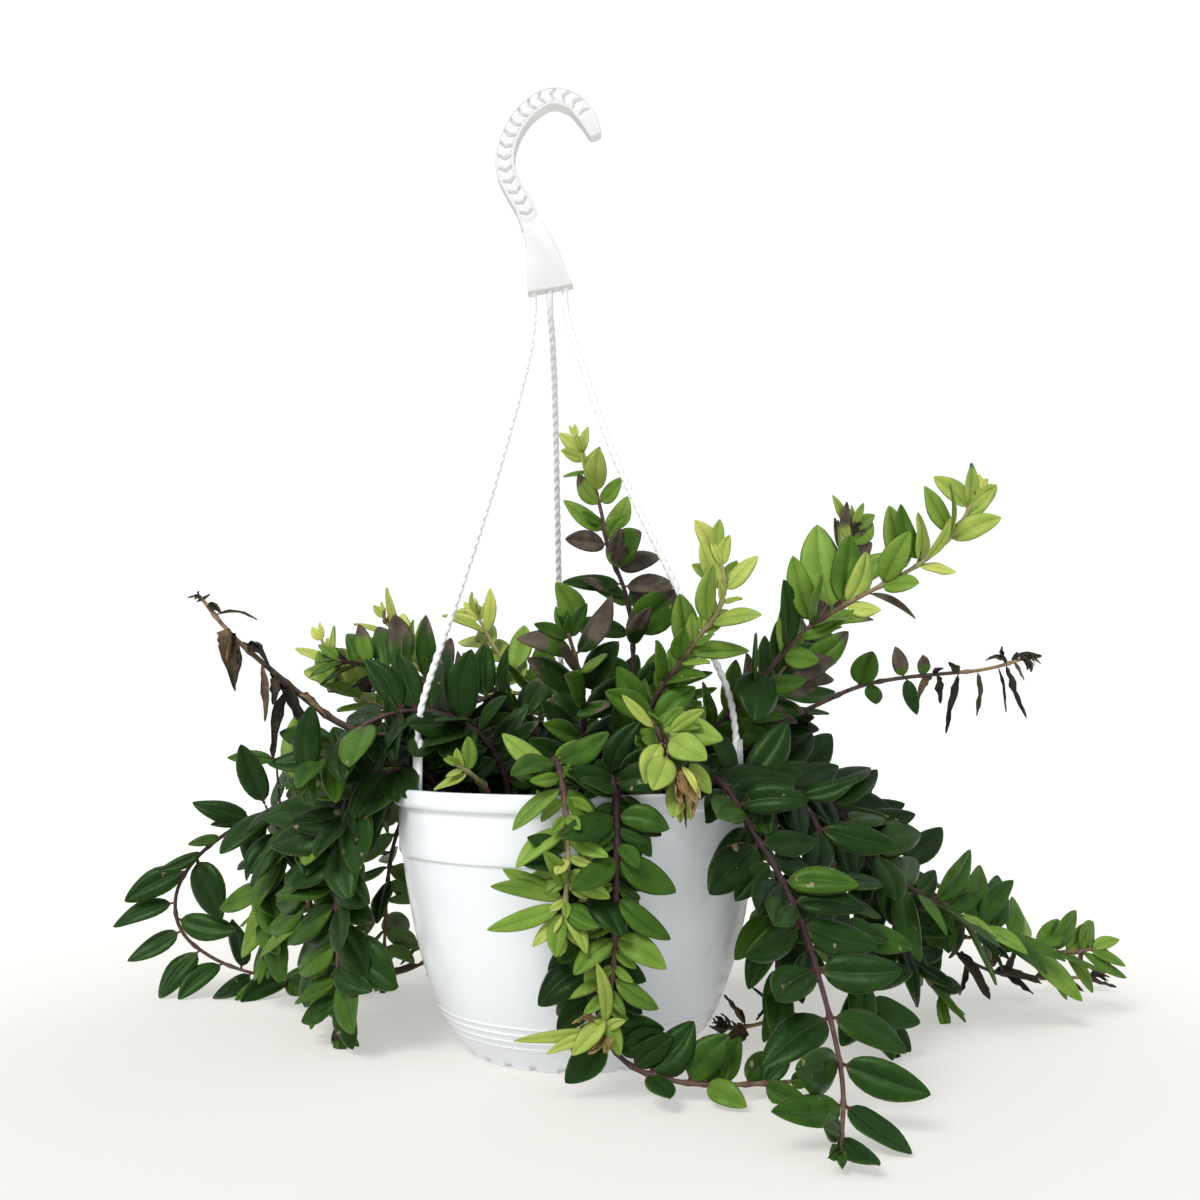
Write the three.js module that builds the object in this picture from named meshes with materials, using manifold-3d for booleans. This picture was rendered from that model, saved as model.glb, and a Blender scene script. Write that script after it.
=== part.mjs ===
// A potted lipstick plant in a white plastic hanging basket, standing on a surface with its hanger upright.
// Millimetres, +Z up. The origin is the centre of the pot's flat underside, and the front is towards -Y.
import * as THREE from "three";
import { mergeVertices } from "three/addons/utils/BufferGeometryUtils.js";
import Module from "manifold-3d";

const wasm = await Module();
wasm.setup();

// A solid that cuts a hole runs this far past the face that it opens.
const CUT_PAST = 2;

// Pot. Its outlines are [radius, height] points, from the underside up.
const POT_SIDES = 36;
const WALL = 1.7;
const FLOOR_THICKNESS = 2.4;
const FLOOR_CORNER = 1;
const FOOT_RADIUS = 59.6;
const FOOT_CORNER = 0.7;
// The bowl is a smooth curve from the foot to the step under the band.
const BOWL_OUTLINE = [
  [FOOT_RADIUS, FOOT_CORNER],
  [73.5, 20.6],
  [84.5, 48.6],
  [91, 78],
  [94.4, 101.6],
];
const BOWL_STEPS = 5;
// The wall's inner line lies further in than the outer one, and higher by this part of the distance.
const INNER_RISE = 0.6;
const BAND_BOTTOM_RADIUS = 96.7;
const BAND_TOP_RADIUS = 97.4;
// The band and the rolled rim, then the inside from the mouth down to the step.
const RIM_OUTLINE = [
  [BAND_BOTTOM_RADIUS, 103],
  [BAND_TOP_RADIUS, 127.4],
  [99.6, 127.4],
  [100.4, 129],
  [100.4, 134.6],
  [99, 136.4],
  [96.6, 136.4],
];
const MOUTH_OUTLINE = [
  [BAND_TOP_RADIUS - WALL, 135.4],
  [BAND_BOTTOM_RADIUS - WALL, 105],
];
const DRAIN_HOLES = 6;
const DRAIN_RING_RADIUS = 36;
const DRAIN_HOLE_RADIUS = 4.5;
const DRAIN_HOLE_SIDES = 10;

// Soil, a fitting gap inside the wall, with a plain hole for each stem.
const FIT_GAP = 0.3;
const SOIL_EDGE_RADIUS = BAND_BOTTOM_RADIUS - WALL - FIT_GAP;
const SOIL_STEP_HEIGHT = 105.6;
const SOIL_EDGE_HEIGHT = 116;
const SOIL_MIDDLE_RADIUS = 60;
const SOIL_MIDDLE_HEIGHT = 118;
const HOLE_RADIUS = 4.4;
const HOLE_SIDES = 5;
const HOLE_BOTTOM = 110.7;
const STEM_BOTTOM = 111;
const STEM_STRAIGHT_TOP = 124;

// Hanger: the hook's middle line and its end block, as [x, z] in the plane y = 0.
const HOOK_LINE = [
  [-29.5, 452],
  [-31, 462],
  [-37, 473],
  [-42.5, 485],
  [-43.2, 498],
  [-38.5, 512],
  [-29.5, 524],
  [-17, 531],
  [-4, 527.5],
  [4.5, 517.5],
  [9.2, 506.5],
];
const HOOK_THICKNESS = 11.4;
const HOOK_DEPTH = 9.6;
const HOOK_CORNER = 2;
const HOOK_STEPS = 16;
const BLOCK_OUTLINE = [
  [-29.8, 413.3],
  [-4.1, 418],
  [-14, 443],
  [-25, 462],
  [-34.2, 457],
  [-31, 440],
];
const BLOCK_DEPTH = 8.4;
// The sockets open in the block's underside.
const SOCKET_RADIUS = 2.5;
const SOCKET_SIDES = 10;
const SOCKET_DEPTH = 30;

// Each arm of the hanger: the way it comes down from its socket, and the angle of its lug on the rim.
const ARM_RADIUS = 1.8;
const ARM_SIDES = 5;
const ARM_STEPS = 16;
const ARM_BOTTOM = 155.6;
const CLIP_REACH = 93.6;
const CLIP_SIZE = [2.2, 9, 34];
const CLIP_HEIGHT = 144.6;
const BARB_SIZE = [3.4, 9, 3.6];
const BARB_REACH = 93;
const BARB_HEIGHT = 129.8;
const LUG_SIZE = [6.6, 14, 2.4];
const LUG_REACH = 93;
const LUG_HEIGHT = 133.2;
const SLOT_SIZE = [3, 9.8, 8];
const ARMS = {
  left: {
    lugAngle: 209,
    route: [
      [-26.6, 0, 422],
      [-26.6, 0, 404],
      [-27, -4, 390],
      [-31, -9, 364],
      [-45, -22, 304],
      [-62, -34, 242],
      [-80, -43, 181],
    ],
  },
  right: {
    lugAngle: 331,
    route: [
      [-8.4, 0, 425],
      [-8.4, 0, 407],
      [-4, -4, 388],
      [3, -9, 365],
      [21, -20, 311],
      [52, -34, 241],
      [76, -43, 190],
    ],
  },
  back: {
    lugAngle: 98,
    route: [
      [-17.4, 0, 423],
      [-17.2, 0, 406],
      [-16, 9, 388],
      [-15, 26, 355],
      [-14, 60, 269],
      [-13, 84, 204],
    ],
  },
};

// Stems and leaves.
const STEM_RADIUS = 1.9;
const STEM_SIDES = 3;
const LEAF_THICKNESS = 1.2;
const BLADE_SIDES = 3;
const TEST_SIDES = 4;
const BLADE_BANDS = 3;
const LEAF_CLEARANCE = 0.9;
const LEAF_ROOT_FREE = 0.24;
const FIRST_LEAF = 34;
const FLOOR_CLEARANCE = 0.1;
// A leaf is widest below its middle: the powers that its outline and its rings are drawn with.
const OUTLINE_SHIFT = 0.86;
const OUTLINE_TAPER = 1.15;
const RING_SHIFT = 1.2;
// A blade's width and twist, the fold of its halves, and how a dried one hangs.
const FRESH = { across: 0.43, fold: 0.22, twist: 0.25 };
const DRIED = { across: 0.26, fold: 0.7, twist: 1.6, droop: 0.25, hang: 0.7 };
// Dried leaves hang down, less and less below the second of these heights, and not at all below the first.
const HANG_HEIGHTS = [15, 60];
// What differs from leaf to leaf: angles in degrees, and parts of the leaf's length.
const TURN_DRAW = 16;
const LEAN_DRAW = 10;
const ROLL_DRAW = 20;
const SIZE_DRAW = [0.84, 1.08];
const DROOP_DRAW = [0.03, 0.2];
const LEAST_LEAN = 12;
// Towards a stem's tip the leaves are younger: smaller, and closer to the stem's own direction.
const YOUNG_FROM = 0.8;
const YOUNGEST_AT = 1.05;
const YOUNG_LEAN = 0.55;
const YOUNG_SIZE = 0.45;
// Leaves face up, away from the pot's middle, and towards the brighter front.
const FACING_UP = 0.6;
const FACING_OUT = 0.55;
const FACING_FRONT = 0.7;
const MIDDLE_REACH = 60;
// The turns round the stem, the changes of lean (degrees) and the sizes that a leaf tries until it is clear.
const LEAF_TRIES = [
  [0, 0, 1],
  [16, -8, 1],
  [-16, -8, 1],
  [0, -24, 0.95],
  [32, 6, 0.92],
  [-32, 6, 0.92],
  [48, -12, 0.86],
  [-48, -12, 0.86],
  [12, -36, 0.8],
  [70, 0, 0.78],
  [-70, 0, 0.78],
  [100, -20, 0.7],
];
// How the pairs of leaves sit: degrees off the stem's lit side for one pair and the next, and their lean
// off the stem's own direction.
const HABITS = {
  trailing: { spread: [84, 58], lean: 66 },
  rising: { spread: [38, 78], lean: 44 },
  upright: { spread: [8, 92], lean: 50 },
};
const LEAF_COLOURS = { dark: 0x2c5428, mid: 0x41702f, pale: 0x8fae52 };

// Each stem: where it leaves the soil, the points that it passes through, and its leaves.
const STEMS = [
  {
    name: "stem_front_hanging",
    root: [12, -66],
    route: [
      [15, -84, 143],
      [17, -103, 146],
      [19, -112, 130],
      [19, -114, 108],
      [18, -113, 86],
      [18, -112, 66],
      [15, -109, 44],
      [13, -107, 30],
    ],
    habit: "trailing",
    spacing: 18,
    leaf: 35,
    tone: "mid",
  },
  {
    name: "stem_front_left_sprig",
    root: [-12, -62],
    route: [
      [-13, -78, 140],
      [-11, -94, 156],
      [-7, -106, 150],
      [-4, -112, 128],
      [-3, -113, 104],
      [-6, -112, 76],
    ],
    habit: "trailing",
    spacing: 18,
    leaf: 33,
    tone: "pale",
  },
  {
    name: "stem_front_floor",
    root: [26, -72],
    route: [
      [24, -84, 141],
      [22, -99, 145],
      [17, -105, 133],
      [12, -105, 106],
      [8, -103, 76],
      [8, -101, 46],
      [14, -101, 22],
      [32, -104, 11],
      [58, -106, 8],
      [80, -104, 8],
      [98, -100, 8],
    ],
    habit: "trailing",
    spacing: 26,
    leaf: 35,
    tone: "dark",
  },
  {
    name: "stem_front_right_trailing",
    root: [54, -52],
    route: [
      [62, -64, 142],
      [68, -78, 146],
      [74, -86, 136],
      [82, -92, 120],
      [93, -100, 103],
      [100, -108, 86],
      [106, -116, 67],
      [111, -126, 44],
      [113, -143, 24],
      [109, -163, 12],
      [103, -186, 8],
    ],
    habit: "trailing",
    spacing: 21,
    leaf: 37,
    tone: "dark",
  },
  {
    name: "stem_front_tip_cluster",
    root: [44, -46],
    route: [
      [44, -54, 146],
      [38, -66, 170],
      [37, -80, 173],
      [41, -92, 162],
      [45, -104, 148],
      [48, -110, 135],
    ],
    habit: "trailing",
    spacing: 18,
    leaf: 33,
    tone: "pale",
  },
  {
    name: "stem_centre_pale",
    root: [22, -40],
    route: [
      [26, -46, 145],
      [37, -54, 179],
      [47, -58, 193],
      [57, -62, 209],
      [68, -64, 220],
      [75, -66, 233],
      [74, -66, 247],
      [66, -64, 261],
    ],
    habit: "rising",
    spacing: 18,
    leaf: 35,
    tone: "pale",
  },
  {
    name: "stem_upright_centre",
    root: [26, 14],
    route: [
      [28, 12, 150],
      [30, 8, 190],
      [29, 7, 228],
      [24, 5, 250],
      [14, 2, 269],
      [12, 0, 292],
      [6, -2, 308],
      [-2, -4, 330],
    ],
    habit: "upright",
    spacing: 22,
    leaf: 33,
    tone: "mid",
  },
  {
    name: "stem_right_rising",
    root: [46, -14],
    route: [
      [56, -21, 142],
      [74, -28, 170],
      [91, -34, 186],
      [112, -40, 213],
      [138, -44, 231],
      [164, -46, 244],
      [189, -46, 260],
      [204, -44, 279],
      [210, -42, 291],
    ],
    habit: "rising",
    spacing: 21,
    leaf: 39,
    tone: "pale",
  },
  {
    name: "stem_right_rising_back",
    root: [48, 26],
    route: [
      [56, 29, 150],
      [84, 33, 168],
      [113, 36, 183],
      [129, 44, 213],
      [149, 52, 242],
      [163, 58, 275],
      [166, 60, 292],
    ],
    habit: "rising",
    spacing: 29,
    leaf: 40,
    tone: "mid",
  },
  {
    name: "stem_right_drying",
    root: [62, 12],
    route: [
      [70, 12, 146],
      [92, 12, 164],
      [123, 14, 174],
      [150, 20, 189],
      [184, 28, 196],
      [215, 36, 199],
      [245, 42, 202],
      [265, 46, 209],
    ],
    habit: "trailing",
    spacing: 28,
    leaf: 38,
    driesFrom: 0.45,
    tone: "dark",
  },
  {
    name: "stem_right_trailing",
    root: [76, -12],
    route: [
      [86, -13, 146],
      [101, -14, 148],
      [122, -16, 139],
      [146, -15, 114],
      [175, -4, 84],
      [213, 14, 61],
      [250, 34, 47],
      [278, 50, 37],
      [303, 60, 38],
    ],
    habit: "trailing",
    spacing: 24,
    leaf: 41,
    tone: "dark",
  },
  {
    name: "stem_right_floor_dead",
    root: [72, 41],
    route: [
      [80, 45, 144],
      [93, 51, 148],
      [122, 56, 134],
      [160, 64, 108],
      [194, 80, 68],
      [226, 96, 32],
      [260, 110, 13],
      [296, 120, 8],
      [333, 128, 9],
    ],
    habit: "trailing",
    spacing: 32,
    leaf: 37,
    driesFrom: 0.6,
    tone: "dark",
  },
  {
    name: "stem_left_drying",
    root: [-58, -10],
    route: [
      [-62, -14, 146],
      [-84, -20, 160],
      [-108, -24, 162],
      [-129, -27, 170],
      [-149, -30, 187],
      [-170, -34, 205],
      [-191, -38, 224],
      [-198, -40, 236],
    ],
    habit: "trailing",
    spacing: 25,
    leaf: 37,
    driesFrom: 0.4,
    tone: "dark",
  },
  {
    name: "stem_left_level",
    root: [-14, 30],
    route: [
      [-18, 31, 150],
      [-34, 32, 176],
      [-64, 34, 186],
      [-94, 36, 194],
      [-120, 38, 202],
      [-144, 40, 207],
    ],
    habit: "trailing",
    spacing: 27,
    leaf: 38,
    tone: "dark",
  },
  {
    name: "stem_left_far_arc",
    root: [-60, 34],
    route: [
      [-70, 40, 144],
      [-88, 50, 150],
      [-116, 58, 142],
      [-145, 66, 134],
      [-173, 80, 123],
      [-208, 92, 110],
      [-243, 101, 86],
      [-259, 106, 54],
      [-246, 111, 30],
      [-214, 114, 14],
      [-184, 116, 9],
    ],
    habit: "trailing",
    spacing: 26,
    leaf: 48,
    tone: "dark",
  },
  {
    name: "stem_left_inner",
    root: [-74, 8],
    route: [
      [-84, 12, 144],
      [-100, 18, 148],
      [-122, 27, 139],
      [-146, 36, 128],
      [-171, 52, 116],
      [-184, 62, 95],
      [-186, 68, 71],
      [-188, 70, 47],
      [-186, 70, 32],
    ],
    habit: "trailing",
    spacing: 27,
    leaf: 43,
    tone: "mid",
  },
  {
    name: "stem_left_vertical",
    root: [-64, -28],
    route: [
      [-78, -31, 144],
      [-94, -34, 148],
      [-112, -33, 140],
      [-121, -28, 124],
      [-125, -24, 104],
      [-127, -22, 78],
      [-126, -20, 52],
      [-125, -18, 26],
      [-126, -16, 7],
    ],
    habit: "trailing",
    spacing: 20,
    leaf: 40,
    tone: "dark",
  },
  {
    name: "stem_left_middle",
    root: [-76, -8],
    route: [
      [-86, -10, 145],
      [-101, -11, 148],
      [-122, -9, 138],
      [-138, -4, 118],
      [-146, 2, 92],
      [-148, 6, 64],
      [-146, 8, 40],
      [-142, 8, 22],
    ],
    habit: "trailing",
    spacing: 27,
    leaf: 41,
    tone: "dark",
  },
  {
    name: "stem_left_low",
    root: [-36, -16],
    route: [
      [-40, -20, 150],
      [-60, -26, 172],
      [-90, -28, 178],
      [-116, -36, 168],
      [-138, -46, 142],
    ],
    habit: "trailing",
    spacing: 30,
    leaf: 39,
    tone: "dark",
  },
  {
    name: "stem_left_pale",
    root: [-44, 44],
    route: [
      [-50, 48, 150],
      [-74, 56, 172],
      [-104, 62, 176],
      [-130, 64, 180],
      [-148, 62, 196],
      [-157, 60, 220],
    ],
    habit: "rising",
    spacing: 30,
    leaf: 38,
    tone: "pale",
  },
  {
    name: "stem_left_back_tall",
    root: [-30, 58],
    route: [
      [-36, 62, 150],
      [-62, 72, 176],
      [-92, 80, 196],
      [-112, 84, 212],
      [-124, 86, 236],
    ],
    habit: "rising",
    spacing: 32,
    leaf: 38,
    tone: "pale",
  },
  {
    name: "stem_back_left_tall",
    root: [-4, 52],
    route: [
      [-8, 58, 160],
      [-30, 68, 190],
      [-52, 78, 212],
      [-66, 84, 238],
    ],
    habit: "rising",
    spacing: 32,
    leaf: 38,
    tone: "pale",
  },
  {
    name: "stem_right_cascade_front",
    root: [68, -30],
    route: [
      [80, -33, 144],
      [95, -37, 147],
      [110, -44, 138],
      [122, -50, 118],
      [130, -52, 92],
      [136, -50, 64],
      [142, -46, 38],
      [150, -38, 18],
      [160, -26, 9],
    ],
    habit: "trailing",
    spacing: 27,
    leaf: 40,
    tone: "dark",
  },
  {
    name: "stem_right_cascade_middle",
    root: [80, 4],
    route: [
      [90, 4, 145],
      [104, 5, 148],
      [126, 6, 138],
      [148, 12, 116],
      [164, 18, 88],
      [176, 26, 60],
      [190, 34, 34],
      [208, 44, 12],
    ],
    habit: "trailing",
    spacing: 30,
    leaf: 41,
    tone: "dark",
  },
  {
    name: "stem_right_cascade_back",
    root: [76, 24],
    route: [
      [86, 27, 145],
      [101, 31, 149],
      [126, 38, 142],
      [152, 44, 124],
      [176, 54, 100],
      [200, 64, 78],
      [226, 72, 56],
      [248, 80, 38],
    ],
    habit: "trailing",
    spacing: 31,
    leaf: 42,
    tone: "dark",
  },
  {
    name: "stem_right_low",
    root: [70, -56],
    route: [
      [74, -58, 146],
      [84, -64, 150],
      [94, -66, 140],
      [99, -62, 120],
      [101, -52, 96],
      [101, -40, 70],
      [103, -28, 44],
      [106, -12, 20],
      [107, 4, 8],
      [99, 13, 7],
      [86, 9, 7],
      [77, -1, 7],
    ],
    habit: "trailing",
    spacing: 31,
    leaf: 37,
    driesFrom: 0.75,
    tone: "dark",
  },
  {
    name: "stem_centre_low",
    root: [0, -26],
    route: [
      [2, -34, 150],
      [4, -46, 180],
      [0, -58, 200],
      [-5, -66, 216],
    ],
    habit: "upright",
    spacing: 28,
    leaf: 37,
    tone: "dark",
  },
  {
    name: "stem_right_bushy",
    root: [56, 2],
    route: [
      [64, -1, 150],
      [86, -6, 172],
      [104, -12, 190],
      [116, -16, 206],
    ],
    habit: "rising",
    spacing: 28,
    leaf: 39,
    tone: "dark",
  },
  {
    name: "stem_inner_sprig",
    root: [-40, -52],
    route: [
      [-42, -56, 132],
      [-50, -62, 144],
      [-60, -68, 150],
    ],
    habit: "trailing",
    spacing: 16,
    leaf: 20,
    tone: "pale",
  },
  {
    name: "stem_back_left_dead",
    root: [-46, 70],
    route: [
      [-52, 78, 144],
      [-60, 88, 148],
      [-72, 104, 130],
      [-82, 120, 96],
      [-88, 134, 56],
      [-92, 142, 24],
      [-104, 146, 8],
      [-128, 147, 5],
      [-150, 146, 5],
    ],
    habit: "trailing",
    spacing: 34,
    leaf: 33,
    driesFrom: 0.55,
    facing: 0,
    tone: "dark",
  },
  {
    name: "stem_back_left_trailing",
    root: [-66, 52],
    route: [
      [-74, 60, 145],
      [-83, 68, 148],
      [-98, 82, 136],
      [-114, 96, 110],
      [-122, 104, 78],
      [-124, 108, 46],
      [-124, 112, 20],
      [-128, 120, 8],
    ],
    habit: "trailing",
    spacing: 33,
    leaf: 37,
    facing: 0,
    tone: "dark",
  },
  {
    name: "stem_back_middle",
    root: [-24, 74],
    route: [
      [-28, 84, 145],
      [-34, 98, 148],
      [-38, 114, 132],
      [-40, 126, 100],
      [-40, 134, 66],
      [-38, 140, 34],
      [-34, 148, 14],
      [-26, 160, 8],
    ],
    habit: "trailing",
    spacing: 33,
    leaf: 37,
    facing: 0,
    tone: "dark",
  },
  {
    name: "stem_back_right",
    root: [22, 74],
    route: [
      [26, 84, 145],
      [30, 98, 149],
      [36, 114, 134],
      [44, 128, 104],
      [52, 138, 70],
      [58, 146, 38],
      [64, 156, 16],
      [72, 170, 8],
    ],
    habit: "trailing",
    spacing: 33,
    leaf: 37,
    facing: 0,
    tone: "mid",
  },
  {
    name: "stem_back_right_outer",
    root: [50, 58],
    route: [
      [58, 68, 145],
      [68, 79, 149],
      [82, 92, 136],
      [98, 106, 110],
      [112, 118, 80],
      [124, 128, 48],
      [136, 138, 22],
      [150, 148, 9],
    ],
    habit: "trailing",
    spacing: 33,
    leaf: 37,
    facing: 0,
    tone: "dark",
  },
  {
    name: "stem_back_arching",
    root: [12, 44],
    route: [
      [14, 50, 150],
      [22, 64, 178],
      [34, 82, 194],
      [48, 98, 196],
      [62, 110, 186],
      [72, 118, 166],
    ],
    habit: "trailing",
    spacing: 33,
    leaf: 36,
    facing: 0,
    tone: "dark",
  },
];

// Directions are turned by angles in degrees.
const radians = THREE.MathUtils.degToRad;

// A repeatable row of numbers from 0 to 1.
class Dice {
  constructor(seed) {
    this.state = (seed * 7919 + 104729) % 2147483647;
  }
  next() {
    this.state = (this.state * 48271) % 2147483647;
    return this.state / 2147483647;
  }
  between(low, high) {
    return low + (high - low) * this.next();
  }
}

// A closed three.js geometry as a solid that can be joined and cut.
function solidOf(geometry) {
  const bare = geometry.clone();
  bare.deleteAttribute("normal");
  bare.deleteAttribute("uv");
  const merged = mergeVertices(bare, 1e-4);
  return new wasm.Manifold(
    new wasm.Mesh({
      numProp: 3,
      vertProperties: merged.getAttribute("position").array,
      triVerts: new Uint32Array(merged.index.array),
    }),
  );
}

// A solid back as a three.js geometry.
function geometryOf(solid) {
  const mesh = solid.getMesh();
  const geometry = new THREE.BufferGeometry();
  geometry.setAttribute("position", new THREE.BufferAttribute(mesh.vertProperties, 3));
  geometry.setIndex(new THREE.BufferAttribute(mesh.triVerts, 1));
  geometry.computeVertexNormals();
  return geometry;
}

function overlaps(first, second) {
  const common = first.intersect(second);
  const found = !common.isEmpty();
  common.delete();
  return found;
}

function boxOf(solid) {
  const { min, max } = solid.boundingBox();
  return new THREE.Box3(new THREE.Vector3(...min), new THREE.Vector3(...max));
}

const vector = ([x, y, z]) => new THREE.Vector3(x, y, z);

function blockAt(size, centre, turn) {
  const geometry = new THREE.BoxGeometry(...size);
  geometry.translate(...centre);
  geometry.rotateZ(radians(turn));
  return solidOf(geometry);
}

function uprightCylinder(radius, sides, x, y, bottom, top) {
  const geometry = new THREE.CylinderGeometry(radius, radius, top - bottom, sides);
  geometry.rotateX(Math.PI / 2);
  geometry.translate(x, y, (bottom + top) / 2);
  return solidOf(geometry);
}

// A solid turned round the Z axis from [radius, height] points that start and end on the axis.
function turned(points, sides) {
  const profile = points.map(([radius, height]) => new THREE.Vector2(radius, height));
  const geometry = new THREE.LatheGeometry(profile, sides);
  geometry.rotateX(Math.PI / 2);
  return solidOf(geometry);
}

// A shape from its corners, swept along a curve.
function swept(corners, curve, steps) {
  const shape = new THREE.Shape(corners.map(([x, y]) => new THREE.Vector2(x, y)));
  return solidOf(new THREE.ExtrudeGeometry(shape, { steps, extrudePath: curve, bevelEnabled: false }));
}

function roundBar(curve, radius, sides, steps) {
  const corners = [];
  for (let i = 0; i < sides; i++) {
    const angle = (2 * Math.PI * i) / sides;
    corners.push([radius * Math.cos(angle), radius * Math.sin(angle)]);
  }
  return swept(corners, curve, steps);
}

// The bowl's outside, or the same line further in.
function bowlPoints(inset) {
  const outline = BOWL_OUTLINE.map(([radius, height]) => new THREE.Vector2(radius, height));
  const line = new THREE.SplineCurve(outline);
  return line.getPoints(BOWL_STEPS).map((point) => [point.x - inset, point.y + inset * INNER_RISE]);
}

// The inside of the bowl from the middle of its floor, or the same line further in and up.
function innerPoints(inset) {
  const floor = FLOOR_THICKNESS + inset;
  const bowl = bowlPoints(WALL + inset).filter(([, height]) => height > floor + FLOOR_CORNER);
  return [[0, floor], [FOOT_RADIUS - WALL - inset, floor], ...bowl];
}

function makePot() {
  const outside = [[0, 0], [FOOT_RADIUS - FOOT_CORNER, 0], ...bowlPoints(0), ...RIM_OUTLINE];
  const inside = [...MOUTH_OUTLINE, ...innerPoints(0).reverse()];
  let pot = turned([...outside, ...inside], POT_SIDES);
  for (const { lugAngle } of Object.values(ARMS)) {
    const lug = blockAt(LUG_SIZE, [LUG_REACH, 0, LUG_HEIGHT], lugAngle);
    const slot = blockAt(SLOT_SIZE, [CLIP_REACH, 0, LUG_HEIGHT], lugAngle);
    pot = pot.add(lug).subtract(slot);
  }
  for (let i = 0; i < DRAIN_HOLES; i++) {
    const angle = (2 * Math.PI * (i + 0.5)) / DRAIN_HOLES;
    const x = DRAIN_RING_RADIUS * Math.cos(angle);
    const y = DRAIN_RING_RADIUS * Math.sin(angle);
    const top = FLOOR_THICKNESS + CUT_PAST;
    pot = pot.subtract(uprightCylinder(DRAIN_HOLE_RADIUS, DRAIN_HOLE_SIDES, x, y, -CUT_PAST, top));
  }
  return pot;
}

function makeSoil() {
  const surface = [
    [SOIL_EDGE_RADIUS, SOIL_STEP_HEIGHT],
    [SOIL_EDGE_RADIUS, SOIL_EDGE_HEIGHT],
    [SOIL_MIDDLE_RADIUS, SOIL_MIDDLE_HEIGHT],
    [0, SOIL_MIDDLE_HEIGHT],
  ];
  let soil = turned([...innerPoints(FIT_GAP), ...surface], POT_SIDES / 2);
  for (const { root } of STEMS) {
    const [x, y] = root;
    const top = SOIL_MIDDLE_HEIGHT + CUT_PAST;
    soil = soil.subtract(uprightCylinder(HOLE_RADIUS, HOLE_SIDES, x, y, HOLE_BOTTOM, top));
  }
  return soil;
}

// The hook's band swept along its middle line, with the flared block that holds the arms.
function makeHook() {
  const line = new THREE.CatmullRomCurve3(HOOK_LINE.map(([x, z]) => new THREE.Vector3(x, 0, z)));
  const wide = HOOK_THICKNESS / 2;
  const deep = HOOK_DEPTH / 2;
  const corners = [
    [wide, deep - HOOK_CORNER],
    [wide - HOOK_CORNER, deep],
    [HOOK_CORNER - wide, deep],
    [-wide, deep - HOOK_CORNER],
    [-wide, HOOK_CORNER - deep],
    [HOOK_CORNER - wide, -deep],
    [wide - HOOK_CORNER, -deep],
    [wide, HOOK_CORNER - deep],
  ];
  const band = swept(corners, line, HOOK_STEPS);
  const outline = new THREE.Shape(BLOCK_OUTLINE.map(([x, z]) => new THREE.Vector2(x, z)));
  const blockGeometry = new THREE.ExtrudeGeometry(outline, { depth: BLOCK_DEPTH, bevelEnabled: false });
  blockGeometry.rotateX(Math.PI / 2);
  blockGeometry.translate(0, BLOCK_DEPTH / 2, 0);
  let hook = band.add(solidOf(blockGeometry));
  for (const { route } of Object.values(ARMS)) {
    const [x, y, armTop] = route[0];
    const top = armTop + FIT_GAP;
    hook = hook.subtract(uprightCylinder(SOCKET_RADIUS, SOCKET_SIDES, x, y, top - SOCKET_DEPTH, top));
  }
  return hook;
}

// One arm: the bar from its socket to the rim, and the flat clip whose barb catches under the lug.
function makeArm({ lugAngle, route }) {
  const foot = new THREE.Vector3(CLIP_REACH, 0, ARM_BOTTOM);
  foot.applyAxisAngle(new THREE.Vector3(0, 0, 1), radians(lugAngle));
  const line = new THREE.CatmullRomCurve3([...route.map(vector), foot]);
  const bar = roundBar(line, ARM_RADIUS, ARM_SIDES, ARM_STEPS);
  const clip = blockAt(CLIP_SIZE, [CLIP_REACH, 0, CLIP_HEIGHT], lugAngle);
  const barb = blockAt(BARB_SIZE, [BARB_REACH, 0, BARB_HEIGHT], lugAngle);
  return bar.add(clip).add(barb);
}

// A stem's middle line: straight up out of its hole, then through the points of its route.
function stemCurve({ root, route }) {
  const [x, y] = root;
  const heights = [STEM_BOTTOM, SOIL_MIDDLE_HEIGHT, STEM_STRAIGHT_TOP];
  const base = heights.map((height) => new THREE.Vector3(x, y, height));
  return new THREE.CatmullRomCurve3([...base, ...route.map(vector)], false, "catmullrom", 0.5);
}

// A leaf's half width at a fraction of its length, out of 1 at its widest.
function leafWidth(along) {
  return Math.pow(Math.sin(Math.PI * Math.pow(along, OUTLINE_SHIFT)), OUTLINE_TAPER);
}

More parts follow.
